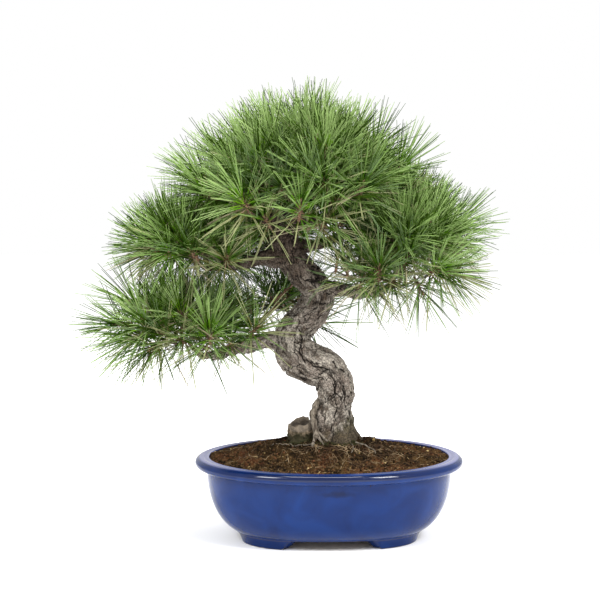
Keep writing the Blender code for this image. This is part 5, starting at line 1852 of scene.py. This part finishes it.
ways = numbers.normal(0, MOSS_LEAN, roots.shape) + (0, 0, 1)
ways /= np.linalg.norm(ways, axis=1)[:, None]
sizes = numbers.uniform(*MOSS_LENGTHS, len(roots))
tones = numbers.choice(len(MOSS_COLOURS), len(roots))
moss_points = point_mesh(ways, sizes, np.zeros_like(roots), tones, roots)
spikes = {"Radius": 0.0003, "Tip Share": 0.2, "Points Along": 3, "Corners": 3}
piece("moss", run_tree(moss_tree, moss_points, spikes, "moss"), ())

# %% [markdown]
# ## Floor, light and camera
#
# The plant stands on a plain white floor under soft studio light: a bright even surround, a soft box on
# either side of the camera, the one on the right a little stronger, and a larger one straight above.

# %% Floor and light
FLOOR_HALF = 6.0
SOFTBOXES = (
    ("right", (1.5, -1.5, 1.9), (0.7, 0.9), 66.0),
    ("left", (-1.5, -1.6, 1.8), (0.7, 0.9), 48.0),
    ("top", (0.0, -0.1, 2.4), (1.2, 1.2), 70.0),
)
LIT_POINT = Vector((0.0, 0.0, 0.3))

scene = bpy.context.scene
scene.view_settings.view_transform = "Standard"
corners = ((-1, -1, 0), (1, -1, 0), (1, 1, 0), (-1, 1, 0))
floor_mesh = mesh_from("floor", FLOOR_HALF * np.array(corners), np.array([(0, 1, 2), (0, 2, 3)]))
paper = Finish("white_paper", (0.98, 0.98, 0.98), 1.0, Specular_IOR_Level=0.0)
floor_mesh.materials.append(paper.material)
floor = bpy.data.objects.new("floor", floor_mesh)
scene.collection.objects.link(floor)

world = bpy.data.worlds.new("studio")
world.use_nodes = True
background = world.node_tree.nodes["Background"]
background.inputs["Color"].default_value = (1.0, 1.0, 1.0, 1.0)
background.inputs["Strength"].default_value = 1.0
scene.world = world
for name, place, size, power in SOFTBOXES:
    lamp = bpy.data.lights.new(name, "AREA")
    lamp.shape = "RECTANGLE"
    lamp.size, lamp.size_y = size
    lamp.energy = power
    box = bpy.data.objects.new(name, lamp)
    scene.collection.objects.link(box)
    box.location = place
    box.rotation_euler = (LIT_POINT - Vector(place)).to_track_quat("-Z", "Y").to_euler()
    print("soft box", name, power, "W")

# %% [markdown]
# The camera looks slightly down from 1.8 metres, through a long lens. Its focal length is known in pixels
# of a picture that is 600 pixels wide, and is turned into millimetres for the sensor.

# %% Camera
CAMERA_FROM_POT = (-0.0368, -1.8, 0.465)
CAMERA_PITCH = math.radians(5.165)
FOCAL_PIXELS, IMAGE_PIXELS, SENSOR_MM = 1437.0, 600.0, 36.0

camera = bpy.data.objects.new("camera", bpy.data.cameras.new("camera"))
camera.data.sensor_width = SENSOR_MM
camera.data.lens = FOCAL_PIXELS / IMAGE_PIXELS * SENSOR_MM
camera.location = Vector(POT_MIDDLE) + Vector(CAMERA_FROM_POT)
camera.rotation_euler = (math.pi / 2 - CAMERA_PITCH, 0.0, 0.0)
scene.collection.objects.link(camera)
scene.camera = camera
print("lens", round(camera.data.lens, 1), "mm")
